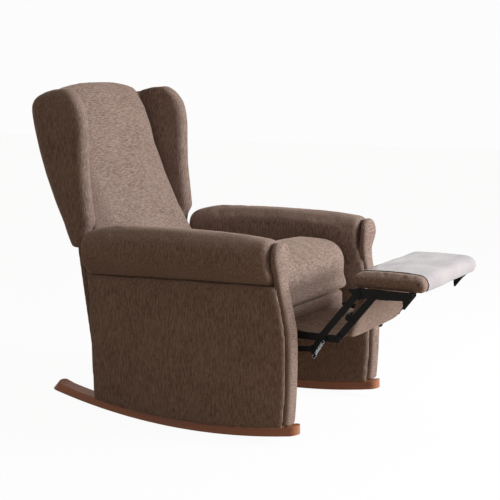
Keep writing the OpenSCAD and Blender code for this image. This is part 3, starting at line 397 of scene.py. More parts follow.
@dataclass(frozen=True)
class PowderSteel:
    """Stamped strip steel under a black powder coat, baked on.

    The eye sees a dull black with fine orange peel, a little dust, and greyer edges where the coat is thin.
    """

    name: str
    colour: str = "090A0B"
    dusty: str = "151617"
    thin: str = "303233"
    peel: float = 0.9 * MM
    dust: float = 35 * MM
    peel_depth: float = 0.06 * MM

    def build(self) -> bpy.types.Material:
        """Make the material.

        Returns:
            The material.
        """
        material, tree = blank(self.name)
        peel = even(self.peel).draw(tree)
        dust = even(self.dust, detail=3.0, rough=0.6).draw(tree)
        worn = add(tree, "NewGeometry").outputs["Pointiness"]
        base = stain(tree, srgb(self.colour), dust, (0.45, 0.7), (0.0, 0.6), self.dusty)
        base = stain(tree, base, worn, (0.53, 0.6), (0.0, 0.4), self.thin)
        dress(tree, base, dust, (0.35, 0.7, 0.5, 0.66), peel, depth=self.peel_depth, strength=0.3, constants={
            "Specular IOR Level": 0.12})
        return material


@dataclass(frozen=True)
class BrightZinc:
    """Bright zinc plating on cold-headed steel rivets, screws and springs: silvery, with a cloudy bloom."""

    name: str
    bright: str = "CDD0D3"
    dull: str = "A9ACB0"
    bloom: float = 2.5 * MM
    crystal: float = 0.5 * MM
    crystal_depth: float = 0.03 * MM

    def build(self) -> bpy.types.Material:
        """Make the material.

        Returns:
            The material.
        """
        material, tree = blank(self.name)
        bloom = even(self.bloom, detail=3.0, rough=0.6).draw(tree)
        crystals = even(self.crystal, detail=1.0).draw(tree)
        base = stain(tree, srgb(self.bright), bloom, (0.35, 0.65), (0.0, 1.0), self.dull)
        dress(tree, base, bloom, (0.3, 0.7, 0.24, 0.42), crystals, depth=self.crystal_depth, strength=0.25,
              constants={"Metallic": 1.0})
        return material


@dataclass(frozen=True)
class WovenWebbing:
    """Elastic upholstery webbing, woven of dark polypropylene: a coarse ribbed weave, dull."""

    name: str
    dark: str = "1C1C1F"
    pale: str = "4A4A50"
    warp: float = 2.244 * MM
    weft: float = 1.6535 * MM
    yarn_depth: float = 0.5 * MM

    def build(self) -> bpy.types.Material:
        """Make the material.

        Returns:
            The material.
        """
        material, tree = blank(self.name)
        where = add(tree, "TexCoord").outputs["Object"]
        step = math.tau / 20  # one band of a wave texture whose scale is 1
        bands = []
        for size, way in ((self.warp, "X"), (self.weft, "Y")):
            wave = add(tree, "TexWave", {"Vector": where, "Scale": step / size, "Distortion": 0.6,
                                         "Detail": 1.0}, wave_type="BANDS", bands_direction=way)
            bands.append(wave.outputs["Fac"])
        weave = add(tree, "Mix", {0: 0.5, 6: bands[0], 7: bands[1]}, data_type="RGBA").outputs[2]
        base = stain(tree, srgb(self.dark), weave, (0.3, 0.7), (0.0, 1.0), self.pale)
        dress(tree, base, weave, (0.3, 0.7, 0.9, 0.7), weave, depth=self.yarn_depth, strength=0.6,
              constants={"Sheen Weight": 0.1})
        return material


@dataclass(frozen=True)
class SoftVinyl:
    """Calendered soft PVC sheet, laid over a footrest to keep it clean: milky, glossy, slightly wavy."""

    name: str
    clear: str = "A6A1A4"
    hazy: str = "989399"
    wave: tuple[float, float, float] = (75 * MM, 45 * MM, 45 * MM)
    haze: tuple[float, float, float] = (120 * MM, 60 * MM, 60 * MM)
    grit: float = 1.2 * MM
    wave_depth: float = 1.2 * MM

    def build(self) -> bpy.types.Material:
        """Make the material.

        Returns:
            The material.
        """
        material, tree = blank(self.name)
        waves = Pattern(self.wave, rough=0.45, bend=0.4).draw(tree)
        haze = Pattern(self.haze).draw(tree)
        grit = even(self.grit, detail=1.0).draw(tree)
        base = stain(tree, srgb(self.clear), haze, (0.35, 0.68), (0.0, 1.0), self.hazy)
        relief = add(tree, "Mix", {0: 0.06, 6: waves, 7: grit}, data_type="RGBA").outputs[2]
        dress(tree, base, haze, (0.3, 0.7, 0.2, 0.34), relief, depth=self.wave_depth, strength=0.5,
              constants={"Coat Weight": 0.25, "Coat Roughness": 0.12})
        return material


@dataclass(frozen=True)
class MouldedRubber:
    """Moulded black rubber with a dull, slightly bloomed skin."""

    name: str
    black: str = "17171A"
    bloomed: str = "2C2C2E"
    bloom: float = 6 * MM
    bloom_depth: float = 0.1 * MM

    def build(self) -> bpy.types.Material:
        """Make the material.

        Returns:
            The material.
        """
        material, tree = blank(self.name)
        bloom = even(self.bloom, detail=3.0, rough=0.6).draw(tree)
        base = stain(tree, srgb(self.black), bloom, (0.4, 0.7), (0.0, 1.0), self.bloomed)
        dress(tree, base, bloom, (0.3, 0.7, 0.72, 0.86), bloom, depth=self.bloom_depth, strength=0.3)
        return material


# Mesh helpers


def points(mesh: bpy.types.Mesh, what: str = "co") -> Points:
    """Read the vertices of a mesh.

    Args:
        mesh: The mesh.
        what: "co" for places or "normal" for normals.

    Returns:
        One row per vertex.
    """
    flat = np.empty(len(mesh.vertices) * 3, dtype=np.float64)
    mesh.vertices.foreach_get(what, flat)
    return flat.reshape(-1, 3)


def put(mesh: bpy.types.Mesh, rows: Points) -> None:
    """Write the vertices of a mesh, as one row each."""
    mesh.vertices.foreach_set("co", rows.ravel())
    mesh.update()


def evaluated(obj: bpy.types.Object) -> bpy.types.Mesh:
    """Make a new mesh of what an object's modifiers show."""
    graph = bpy.context.evaluated_depsgraph_get()
    return bpy.data.meshes.new_from_object(obj.evaluated_get(graph))


def link(name: str, mesh: bpy.types.Mesh) -> bpy.types.Object:
    """Put a mesh into the scene as an object.

    Args:
        name: The object's name.
        mesh: Its mesh.

    Returns:
        The object.
    """
    obj = bpy.data.objects.new(name, mesh)
    bpy.context.scene.collection.objects.link(obj)
    return obj


def relax(mesh: bpy.types.Mesh, steps: int, loose: np.ndarray | None = None) -> None:
    """Even out a mesh by moving each vertex half way to the middle of its neighbours.

    Args:
        mesh: The mesh.
        steps: How often.
        loose: Per vertex, from 0, held, to 1, free.
    """
    rows = points(mesh)
    share = 0.5 if loose is None else 0.5 * loose[:, None]
    ends = np.empty(len(mesh.edges) * 2, dtype=np.int64)
    mesh.edges.foreach_get("vertices", ends)
    a, b = ends[::2], ends[1::2]
    count = np.bincount(ends, minlength=len(rows)).astype(float)[:, None]
    for _ in range(steps):
        total = np.stack([np.bincount(a, rows[b, k], len(rows)) + np.bincount(b, rows[a, k], len(rows))
                          for k in range(3)], 1)
        rows = rows + share * (total / count - rows)
    put(mesh, rows)


def turn_edge(mesh: bpy.types.Mesh, radius: float, faces: tuple[float, float], pucker: float = 0.0) -> None:
    """Round the front edge of an arm's cover, from its faces in to the groove beside the facing.

    Args:
        mesh: The cover of the left side, whose outer face looks along +X.
        radius: Radius of the rounding.
        faces: How far the inner and the outer face turn in, as -1 to 0 and 0 to 1.
        pucker: Height of the gathers that the seam draws into it.
    """
    step, gather, drift = 12 * MM, 17 * MM, 50 * MM
    rows = points(mesh)
    bins = np.arange(rows[:, 2].min(), rows[:, 2].max() + step, step)
    which = np.digitize(rows[:, 2], bins)
    middles, fronts = [], []
    for i in range(1, len(bins) + 1):
        inside = rows[which == i]
        if len(inside):
            middles.append(inside[:, 2].mean())
            fronts.append(inside[:, 1].min())
    back = rows[:, 1] - np.interp(rows[:, 2], middles, fronts)
    t = np.clip(1 - back / radius, 0, 1)
    side = np.clip((rows[:, 0] - rows[:, 0].mean()) / (np.ptp(rows[:, 0]) / 2), *faces)
    rows[:, 0] -= radius * (1 - np.sqrt(1 - t * t)) * side
    reach = np.exp(-((back - radius) / radius) ** 2)
    ripple = np.sin(rows[:, 2] / gather * math.tau + 2 * np.sin(rows[:, 2] / drift))
    rows[:, 0] += pucker * reach * side * ripple
    put(mesh, rows)


def bake(obj: bpy.types.Object) -> None:
    """Turn an object's modifiers into its mesh."""
    obj.data = evaluated(obj)
    obj.modifiers.clear()


def subdivide(obj: bpy.types.Object) -> None:
    """Round an object's mesh by subdividing it once."""
    finer = obj.modifiers.new("finer", "SUBSURF")
    finer.levels = finer.render_levels = 1


def thicken(obj: bpy.types.Object, thickness: float) -> None:
    """Give a sheet its thickness, half to each side.

    Args:
        obj: The sheet.
        thickness: Its thickness, in metres.
    """
    solid = obj.modifiers.new("thickness", "SOLIDIFY")
    solid.thickness = thickness
    solid.offset = 0.0


def even_out(values: np.ndarray, passes: int, free_ends: bool = False) -> np.ndarray:
    """Smooth values along their last axis.

    Args:
        values: The values.
        passes: How often.
        free_ends: Whether both ends follow their neighbours instead of staying where they are.

    Returns:
        The smoothed values.
    """
    values = values.copy()
    for _ in range(passes):
        values[..., 1:-1] = (values[..., :-2] + 2 * values[..., 1:-1] + values[..., 2:]) / 4
        if free_ends:
            values[..., 0], values[..., -1] = values[..., 1], values[..., -2]
    return values


def span_grid(name: str, grid: Points) -> bpy.types.Mesh:
    """Span a mesh over a grid of points.

    Args:
        name: The mesh's name.
        grid: The points, by row and column.

    Returns:
        The mesh.
    """
    tall, wide = grid.shape[:2]
    mesh = bpy.data.meshes.new(name)
    mesh.from_pydata([tuple(point) for point in grid.reshape(-1, 3)], [], [
        (i * wide + j, (i + 1) * wide + j, (i + 1) * wide + j + 1, i * wide + j + 1)
        for i in range(tall - 1) for j in range(wide - 1)])
    return mesh


def over(level: float, reach: float) -> Callable[[Points], np.ndarray]:
    """Weights that are 0 up to a resting height and grow to 1 above it.

    Args:
        level: That height, in metres.
        reach: Height over which the weight grows.

    Returns:
        A function from points to weights.
    """
    def weigh(rows: Points) -> np.ndarray:
        """Weigh each point."""
        t = np.clip((rows[:, 2] - level) / reach, 0, 1)
        return t * t * (3 - 2 * t)
    return weigh


# Soft pieces and finishes


@dataclass(frozen=True)
class Pad:
    """How a soft piece grows from its CAD solids.

    Attributes:
        nodes: The solids that it takes the place of.
        body: The body that it rides on.
        voxel: Cell size of its first skin.
        relax: How often that skin is evened out.
        shrink: How far it is drawn in before it is blown up.
        swell: How far it may be blown up.
        proud: How far the finished cover stands out.
        pressure: Pressure of the filling.
        fill: Firmness of the filling; not used.
        slot: A finish; not used.
        loose: Weights of the evening out.
        hold: Weights of the blowing up.
        mirrored: The solids on the other side of the chair, if the piece has a twin there.
    """

    nodes: tuple[str, ...]
    body: str
    voxel: float = 5 * MM
    relax: int = 5
    shrink: float = 0.0
    swell: float = 0.0
    proud: float = 1.4 * MM
    pressure: float = 4.0
    fill: float = 0.6
    slot: str = "chenille"
    loose: Callable[[Points], np.ndarray] | None = None
    hold: Callable[[Points], np.ndarray] | None = None
    mirrored: tuple[str, ...] = ()


class Workshop:
    """Makes the soft pieces and gives every piece its finish."""

    def __init__(self, frame: dict[str, Any]) -> None:
        """Keep the frame and build the finishes.
        """
        self.nodes: dict[str, bpy.types.Object] = frame["nodes"]
        self.finishes: dict[str, bpy.types.Material] = {
            "chenille_x": Chenille("chenille_across", Axis.X).build(),
            "chenille_z": Chenille("chenille_upright", Axis.Z).build(),
            "beech": BentBeech("stained_beech").build(),
            "pine_x": SawnPine("planed_pine_x", Axis.X).build(),
            "pine_y": SawnPine("planed_pine_y", Axis.Y).build(),
            "pine_z": SawnPine("planed_pine_z", Axis.Z).build(),
            "steel": PowderSteel("black_powder_coat").build(),
            "zinc": BrightZinc("bright_zinc").build(),
            "webbing": WovenWebbing("elastic_webbing").build(),
            "vinyl": SoftVinyl("milky_vinyl").build(),
            "rubber": MouldedRubber("black_rubber").build(),
        }

    def paint(self, obj: bpy.types.Object, finish: str, smooth: bool = True) -> None:
        """Give an object one finish.

        Args:
            obj: The object.
            finish: The finish's key.
            smooth: Whether its faces are shaded as one surface.
        """
        obj.data.materials.clear()
        obj.data.materials.append(self.finishes[finish])
        if smooth:
            obj.data.shade_smooth()

    def carry(self, name: str, finish: str, edge: float = 0.0) -> None:
        """Finish a CAD node that is shown as it is.

        Args:
            name: The node.
            finish: The finish's key.
            edge: Width of the broken edges that a bevel draws, in metres.
        """
        self.paint(self.nodes[name], finish, False)
        if edge:
            self.soften(self.nodes[name], edge)
        LOG.info("carried %s as %s", name, finish)

    @staticmethod
    def soften(obj: bpy.types.Object, edge: float) -> None:
        """Break an object's sharp edges.

        Args:
            obj: The object.
            edge: Width of the broken edges, in metres.
        """
        bevel = obj.modifiers.new("broken_edges", "BEVEL")
        bevel.width = edge
        bevel.segments = 2
        bevel.limit_method = "ANGLE"
        bevel.angle_limit = math.radians(SHARP_ANGLE)
        bevel.harden_normals = True

    def grow(self, pad: Pad, finish: str) -> bpy.types.Object:
        """Make a soft piece from its CAD solids: remeshed, evened out and blown up under its cover.

        Args:
            pad: What to make.
            finish: The finish's key.

        Returns:
            The piece, not yet riding on a body.
        """
        joined = bmesh.new()
        for name in pad.nodes:
            joined.from_mesh(self.nodes[name].data)
        mesh = bpy.data.meshes.new(pad.nodes[0] + "_cover")
        joined.to_mesh(mesh)
        joined.free()
        obj = link(pad.nodes[0] + "_cover", mesh)
        remesh = obj.modifiers.new("remesh", "REMESH")
        remesh.mode = "VOXEL"
        remesh.voxel_size = pad.voxel
        bake(obj)
        relax(obj.data, pad.relax, pad.loose(points(obj.data)) if pad.loose else None)
        if pad.shrink:
            free = pad.hold(points(obj.data))[:, None] if pad.hold else 1.0
            self.offset(obj, -pad.shrink * free)
            relax(obj.data, SETTLE_PASSES)
        if pad.swell:
            self.inflate(obj, pad)
        elif pad.shrink:
            self.offset(obj, pad.shrink)
        self.offset(obj, pad.proud)
        self.paint(obj, finish)
        LOG.info("grew %s: %d vertices", obj.name, len(obj.data.vertices))
        return obj

    @staticmethod
    def offset(obj: bpy.types.Object, distance: float | np.ndarray) -> None:
        """Move an object's surface out along its normals, for all of it or by one row per vertex."""
        put(obj.data, points(obj.data) + points(obj.data, "normal") * distance)

    @staticmethod
    def inflate(obj: bpy.types.Object, pad: Pad) -> None:
        """Blow a cover up with the cloth solver, held where it rests and capped in how far it may move.

        Args:
            obj: The object.
            pad: Its pressure, cap and held places.
        """
        before = points(obj.data)
        cloth = obj.modifiers.new("cloth", "CLOTH")
        cloth.settings.quality = 4
        cloth.settings.use_pressure = True
        cloth.settings.uniform_pressure_force = pad.pressure
        cloth.settings.effector_weights.gravity = 0
        cloth.collision_settings.use_collision = False
        cloth.point_cache.frame_start = 1
        cloth.point_cache.frame_end = CLOTH_FRAMES
        scene = bpy.context.scene
        for frame in range(1, CLOTH_FRAMES + 1):
            scene.frame_set(frame)
        mesh = evaluated(obj)
        obj.modifiers.clear()
        scene.frame_set(1)
        move = points(mesh) - before
        size = np.linalg.norm(move, axis=1, keepdims=True)
        move *= np.minimum(1.0, pad.swell / np.maximum(size, 1e-9))
        if pad.hold is not None:
            move *= pad.hold(before)[:, None]
        put(obj.data, before + move)
        relax(obj.data, SETTLE_PASSES)
        bpy.data.meshes.remove(mesh)

    @staticmethod
    def hang(obj: bpy.types.Object, pad: Pad, nodes: tuple[str, ...]) -> None:
        """Hide the nodes that a soft piece takes the place of, and hang it on its body.

        Args:
            obj: The piece.
            pad: What it is.
            nodes: The CAD nodes that it takes the place of.
        """
        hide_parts(*nodes)
        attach(obj, pad.body)

    def finish_pad(self, obj: bpy.types.Object, pad: Pad, finer: bool = False) -> bpy.types.Object:
        """Hang a soft piece, and its twin on the other side of the chair where it has one.

        Args:
            obj: The piece, which is the left one of two.
            pad: What it is.
            finer: Whether its mesh is subdivided once.

        Returns:
            The piece.
        """
        if finer:
            subdivide(obj)
            bake(obj)
            obj.data.shade_smooth()
        self.hang(obj, pad, pad.nodes)
        if pad.mirrored:
            mesh = obj.data.copy()
            mesh.transform(Matrix.Scale(-1, 4, Vector((1, 0, 0))))
            mesh.flip_normals()
            self.hang(link(pad.mirrored[0] + "_cover", mesh), pad, pad.mirrored)
        return obj


# The chair's parts


@dataclass
class Rockers:
    """The two bent rockers and their screws.

    Attributes:
        shop: The workshop.
        slant: Length of the slant that their rear ends are cut to.
        edge: Width of their broken edges.
    """

    shop: Workshop
    slant: float = 45 * MM
    edge: float = 5 * MM

    def shape_rocker(self, name: str) -> None:
        """Cut a rocker's rear end to a slant, longest at the floor, and round its edges.

        Args:
            name: The rocker's node.
        """
        mesh = self.shop.nodes[name].data.copy()
        rows = points(mesh)
        height = ROCKER_RADIUS - np.hypot(rows[:, 1] - CENTRE_Y, ROCKER_RADIUS - rows[:, 2])
        end = np.clip((rows[:, 1] - rows[:, 1].max() + self.slant) / self.slant, 0, 1)
        rows[:, 1] -= np.clip(height, 0, None) * end
        put(mesh, rows)
        rocker = link(name + "_beech", mesh)
        self.shop.paint(rocker, "beech", False)
        self.shop.soften(rocker, self.edge)
        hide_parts(name)
        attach(rocker, "base")

    def build(self) -> None:
        """Finish the rockers."""
        for side in ("right", "left"):
            self.shape_rocker(f"rocker_{side}")
        self.shop.carry("rocker_screws", "zinc")


@dataclass
class Arms:
    """The padded arms: outer and inner panels, rolls, facings and rear covers, with their wooden frames.

    Attributes:
        shop: The workshop.
        seam_front: Front end of the seam between roll and panels, along Y and Z.
        seam_rear: Rear end of that seam.
        overlap: How far the covers run on past the seam.
        panel_round: Radius of the panels' front edges.
        outer_edge: How far the outer panel's upper edge stands back, and the height of that step.
        inner_edge: The same for the inner panel, which stands out instead.
        roll_round: Radius of the roll's front edge.
        roll_blend: Height over the seam up to which the roll is evened out less.
        roll_least: Share of the evening out at the seam.
        roll_hold: Height over the seam up to which it is held as it is blown up.
        tuck: Height over the seam at which the roll starts to turn in, outside.
        tuck_share: How far it turns in, as a share of that height.
        tuck_side: Distance from the roll's middle at which it turns in fully.
        hem: Height over the seam from which the roll's lower edge is drawn down.
        inner_face: Where the roll's flat inner extension lies, along X.
        inner_start: Distance from the roll's middle at which that extension is full.
        inner_height: Height over the seam from which it is drawn inwards.
        inner_draw: How far it is drawn inwards.
        inner_drop: How far it is drawn down.
        inner_ahead: How far its front is drawn forward.
        inner_front: Distance from the front over which that fades.
        facing_inset: How far the facing is sunk, on its sides.
        facing_low: Share of that at its top and bottom.
        gather: Height of the gathers beside the facing.
    """

    shop: Workshop
    seam_front: tuple[float, float] = (-0.280, 0.510)
    seam_rear: tuple[float, float] = (0.443, 0.490)
    overlap: float = 5 * MM
    panel_round: float = 13 * MM
    outer_edge: tuple[float, float] = (3 * MM, 22 * MM)
    inner_edge: tuple[float, float] = (-8 * MM, 70 * MM)
    roll_round: float = 15 * MM
    roll_blend: float = 30 * MM
    roll_least: float = 0.15
    roll_hold: float = 60 * MM
    tuck: float = 13 * MM
    tuck_share: float = 0.6
    tuck_side: float = 30 * MM
    hem: float = 30 * MM
    inner_face: float = 287.6 * MM
    inner_start: float = 20 * MM
    inner_height: float = 45 * MM
    inner_draw: float = 25 * MM
    inner_drop: float = 48 * MM
    inner_ahead: float = 30 * MM
    inner_front: float = 60 * MM
    facing_inset: float = 3 * MM
    facing_low: float = 0.6
    gather: float = 1.1 * MM

    def above_seam(self, rows: Points) -> np.ndarray:
        """Give each point's height over the seam between the roll and the panels."""
        ends = (self.seam_front, self.seam_rear)
        return rows[:, 2] - np.interp(rows[:, 1], [e[0] for e in ends], [e[1] for e in ends])

    def lap_panel(self, mesh: bpy.types.Mesh, edge: tuple[float, float]) -> None:
        """Draw a panel's upper edge on past the seam, under the roll.

        Args:
            mesh: The panel's cover.
            edge: How far the edge stands back, and the height over which it does.
        """
        rows = points(mesh)
        recess, height = edge
        part = np.clip(1 + self.above_seam(rows) / height, 0, 1)
        rows[:, 2] += self.overlap * part
        rows[:, 0] -= recess * part
        put(mesh, rows)

    def lap_roll(self, mesh: bpy.types.Mesh) -> None:
        """Draw the roll's lower edge down over the panels: tucked in outside, flat on the inner panel.

        Args:
            mesh: The roll's cover.
        """
        rows = points(mesh)
        height = self.above_seam(rows)
        middle = rows[:, 0].mean()
        side = np.clip((rows[:, 0] - middle) / self.tuck_side, 0, 1)
        t = np.clip(1 - height / self.tuck, 0, 1)
        rows[:, 0] -= self.tuck_share * self.tuck * (1 - np.sqrt(1 - t * t)) * side
        inner = np.clip((middle - rows[:, 0]) / self.inner_start, 0, 1)
        low = np.clip(1 - height / self.inner_height, 0, 1) * inner
        front = np.clip(1 - (rows[:, 1] - rows[:, 1].min()) / self.inner_front, 0, 1)
        flat = np.maximum(rows[:, 0] - self.inner_draw * low ** 2, self.inner_face)
        rows[:, 0] = np.where(low > 0, np.minimum(flat, rows[:, 0]), rows[:, 0])
        rows[:, 1] -= self.inner_ahead * low * front
        drop = self.overlap + (self.inner_drop - self.overlap) * inner
        rows[:, 2] -= drop * np.clip(1 - height / self.hem, 0, 1)
        put(mesh, rows)

    def shape_panel(self, name: str, faces: tuple[float, float],
                    edge: tuple[float, float]) -> tuple[bpy.types.Object, Pad]:
        """Make the cover of a left panel.

        Args:
            name: The panel's node, without its side.
            faces: How far its inner and its outer face turn in at the front.
            edge: Its upper edge, as lap_panel takes it.

        Returns:
            The cover and what it is.
        """
        pad = Pad((f"{name}_left",), "base", relax=4, fill=0.8, mirrored=(f"{name}_right",))
        cover = self.shop.grow(pad, "chenille_z")
        turn_edge(cover.data, self.panel_round, faces)
        self.lap_panel(cover.data, edge)
        return cover, pad

    def shape_roll(self) -> tuple[bpy.types.Object, Pad]:
        """Make the cover of the left roll.

        Returns:
            The cover and what it is.
        """
        pad = Pad(("arm_roll_left",), "base", relax=10, shrink=3 * MM, swell=6 * MM, fill=0.75,
                  loose=lambda rows: np.clip(self.above_seam(rows) / self.roll_blend, self.roll_least, 1),
                  hold=lambda rows: np.clip(self.above_seam(rows) / self.roll_hold, 0, 1),
                  mirrored=("arm_roll_right",))
        cover = self.shop.grow(pad, "chenille_z")
        turn_edge(cover.data, self.roll_round, (-1.0, 1.0), self.gather)
        self.lap_roll(cover.data)
        relax(cover.data, SETTLE_PASSES)
        return cover, pad

    def shape_facing(self) -> tuple[bpy.types.Object, Pad]:
        """Make the cover of the left facing, sunk between the roll and the panels.

        Returns:
            The cover and what it is.
        """
        pad = Pad(("arm_facing_left",), "base", voxel=4 * MM, relax=6, fill=0.85,
                  mirrored=("arm_facing_right",))
        cover = self.shop.grow(pad, "chenille_x")
        self.shop.offset(cover, -self.facing_inset * np.array([1.0, 0.0, self.facing_low]))
        return cover, pad

    def build(self) -> None:
        """Make the arms' covers and finish their frames."""
        outer = self.shape_panel("arm_outer_panel", (0.0, 1.0), self.outer_edge)
        relax(outer[0].data, SETTLE_PASSES)
        inner = self.shape_panel("arm_inner_panel", (-1.0, 0.0), self.inner_edge)
        for cover, pad in (outer, inner, self.shape_roll(), self.shape_facing()):
            self.shop.finish_pad(cover, pad)
        rear = Pad(("arm_rear_covers",), "base", relax=3, fill=0.8)
        self.shop.finish_pad(self.shop.grow(rear, "chenille_z"), rear)
        self.shop.carry("arm_rails", "pine_y", WOOD_EDGE)
        self.shop.carry("arm_posts", "pine_z", WOOD_EDGE)
        self.shop.carry("cross_rails", "pine_x", RAIL_EDGE)


@dataclass
class Seat:
    """The seat cushion on its webbed frame, with the border under its front.

    Attributes:
        shop: The workshop.
        rests_at: Height up to which the cushion keeps its shape as it is blown up.
        crown_height: Height over which its crown grows.
    """

    shop: Workshop
    rests_at: float = 412 * MM
    crown_height: float = 50 * MM

    def build(self) -> None:
        """Make the seat's covers and finish its frame."""
        pad = Pad(("seat_cushion",), "base", voxel=6 * MM, relax=16, shrink=8 * MM, swell=24 * MM,
                  proud=0.5 * MM, fill=0.7, hold=over(self.rests_at, self.crown_height))
        self.shop.finish_pad(self.shop.grow(pad, "chenille_x"), pad, True)
        border = Pad(("seat_front_border",), "base", voxel=4 * MM, relax=4, fill=0.7)
        self.shop.finish_pad(self.shop.grow(border, "chenille_x"), border)
        self.shop.carry("seat_frame", "pine_x", WOOD_EDGE)
        self.shop.carry("seat_bearers", "pine_x", WOOD_EDGE)
        self.shop.carry("seat_webbing", "webbing")


@dataclass
class Back:
    """The reclining back: cushion, wings, outside and lower covers on a webbed frame.

    Attributes:
        shop: The workshop.
        top_middle: Middle of the rounded top, along Y and Z.
        top_reach: Its outline round that middle, as degrees up from the rear and metres.
        top_soft: Softness of that outline's pull.
        top_blend: Height over the middle at which the pull is full.
        crown: How much higher the cushion's crest is in its middle than beside the wings.
        crown_half: Half the crest's width.
        crown_square: How square the crest's outline is, as a power.
        side_edge: Half width at which the cushion's sides are held as it is blown up.
        side_blend: Distance over which that fades.
        top_edge: Height at which its top is held.
        top_fade: Distance over which that fades.
        cover_under: How far the outside covers stay below the rounded top.
        frame_under: How far the frame does.
    """

    shop: Workshop
    top_middle: tuple[float, float] = (0.585, 1.000)
    top_reach: tuple[tuple[float, float], ...] = (
        (0, 0.136), (14.5, 0.138), (27.8, 0.139), (36.9, 0.134), (45.3, 0.128), (57.7, 0.121), (72.2, 0.1185),
        (91.4, 0.122), (102.6, 0.133), (113, 0.163))
    top_soft: float = 9 * MM
    top_blend: float = 50 * MM
    crown: float = 35 * MM
    crown_half: float = 275 * MM
    crown_square: int = 3
    side_edge: float = 284 * MM
    side_blend: float = 70 * MM
    top_edge: float = 1150 * MM
    top_fade: float = 100 * MM
    cover_under: float = 5 * MM
    frame_under: float = 12 * MM

    def dome(self, mesh: bpy.types.Mesh, under: float | np.ndarray = 0.0) -> None:
        """Round the top of the back from its rear face up to the crest.

        Args:
            mesh: A piece of the back.
            under: How far it stays below the rounded top, for all of it or per vertex.
        """
        rows = points(mesh)
        y, z = rows[:, 1] - self.top_middle[0], rows[:, 2] - self.top_middle[1]
        away = np.hypot(y, z) + 1e-9
        turns, reaches = zip(*self.top_reach)
        reach = np.interp(np.degrees(np.arctan2(z, y)), turns, reaches) - under
        past = (away - reach) / self.top_soft
        drawn = np.where(past > 0, reach, away) - self.top_soft * np.exp(-np.abs(past))
        part = 1 + (drawn / away - 1) * np.clip(z / self.top_blend, 0, 1)
        rows[:, 1] += y * (part - 1)
        rows[:, 2] += z * (part - 1)
        put(mesh, rows)

    def hold_edges(self, rows: Points) -> np.ndarray:
        """Weigh each point from 0 at the cushion's sides and top to 1 away from them."""
        return (np.clip((self.side_edge - np.abs(rows[:, 0])) / self.side_blend, 0, 1)
                * np.clip((self.top_edge - rows[:, 2]) / self.top_fade, 0, 1))

    def build_cushion(self) -> None:
        """Make the cushion, crowned and highest in its middle."""
        pad = Pad(("back_cushion",), "back", voxel=6 * MM, relax=16, shrink=6 * MM, swell=22 * MM,
                  proud=0.5 * MM, fill=0.75, hold=self.hold_edges)
        cover = self.shop.grow(pad, "chenille_x")
        across = np.abs(points(cover.data)[:, 0]) / self.crown_half
        self.dome(cover.data, -self.crown * np.clip(1 - across ** self.crown_square, 0, 1))
        self.shop.finish_pad(cover, pad, True)

    def build_covers(self) -> None:
        """Make the wings, the outside and lower covers and the covered sides."""
        for pad, under in (
                (Pad(("wing_left",), "back", relax=10, fill=0.8, mirrored=("wing_right",)), 0.0),
                (Pad(("outside_back",), "back", relax=4, fill=0.8), self.cover_under),
                (Pad(("lower_back",), "back", relax=4, fill=0.8), self.cover_under)):
            cover = self.shop.grow(pad, "chenille_z")
            self.dome(cover.data, under)
            self.shop.finish_pad(cover, pad)
        sides = Pad(("lower_side_left",), "back", voxel=4 * MM, relax=3, fill=0.8,
                    mirrored=("lower_side_right",))
        self.shop.finish_pad(self.shop.grow(sides, "chenille_z"), sides)

    def build(self) -> None:
        """Make the back's covers and finish its frame."""
        self.build_cushion()
        self.build_covers()
        frame = link("back_frame_wood", self.shop.nodes["back_frame"].data.copy())
        self.dome(frame.data, self.frame_under)
        self.shop.paint(frame, "pine_z", False)
        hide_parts("back_frame")
        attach(frame, "back")
        self.shop.carry("back_webbing", "webbing")
        for side in ("right", "left"):
            self.shop.carry(f"back_bracket_{side}", "steel", BRACKET_EDGE)
        self.shop.carry("back_screws", "zinc")


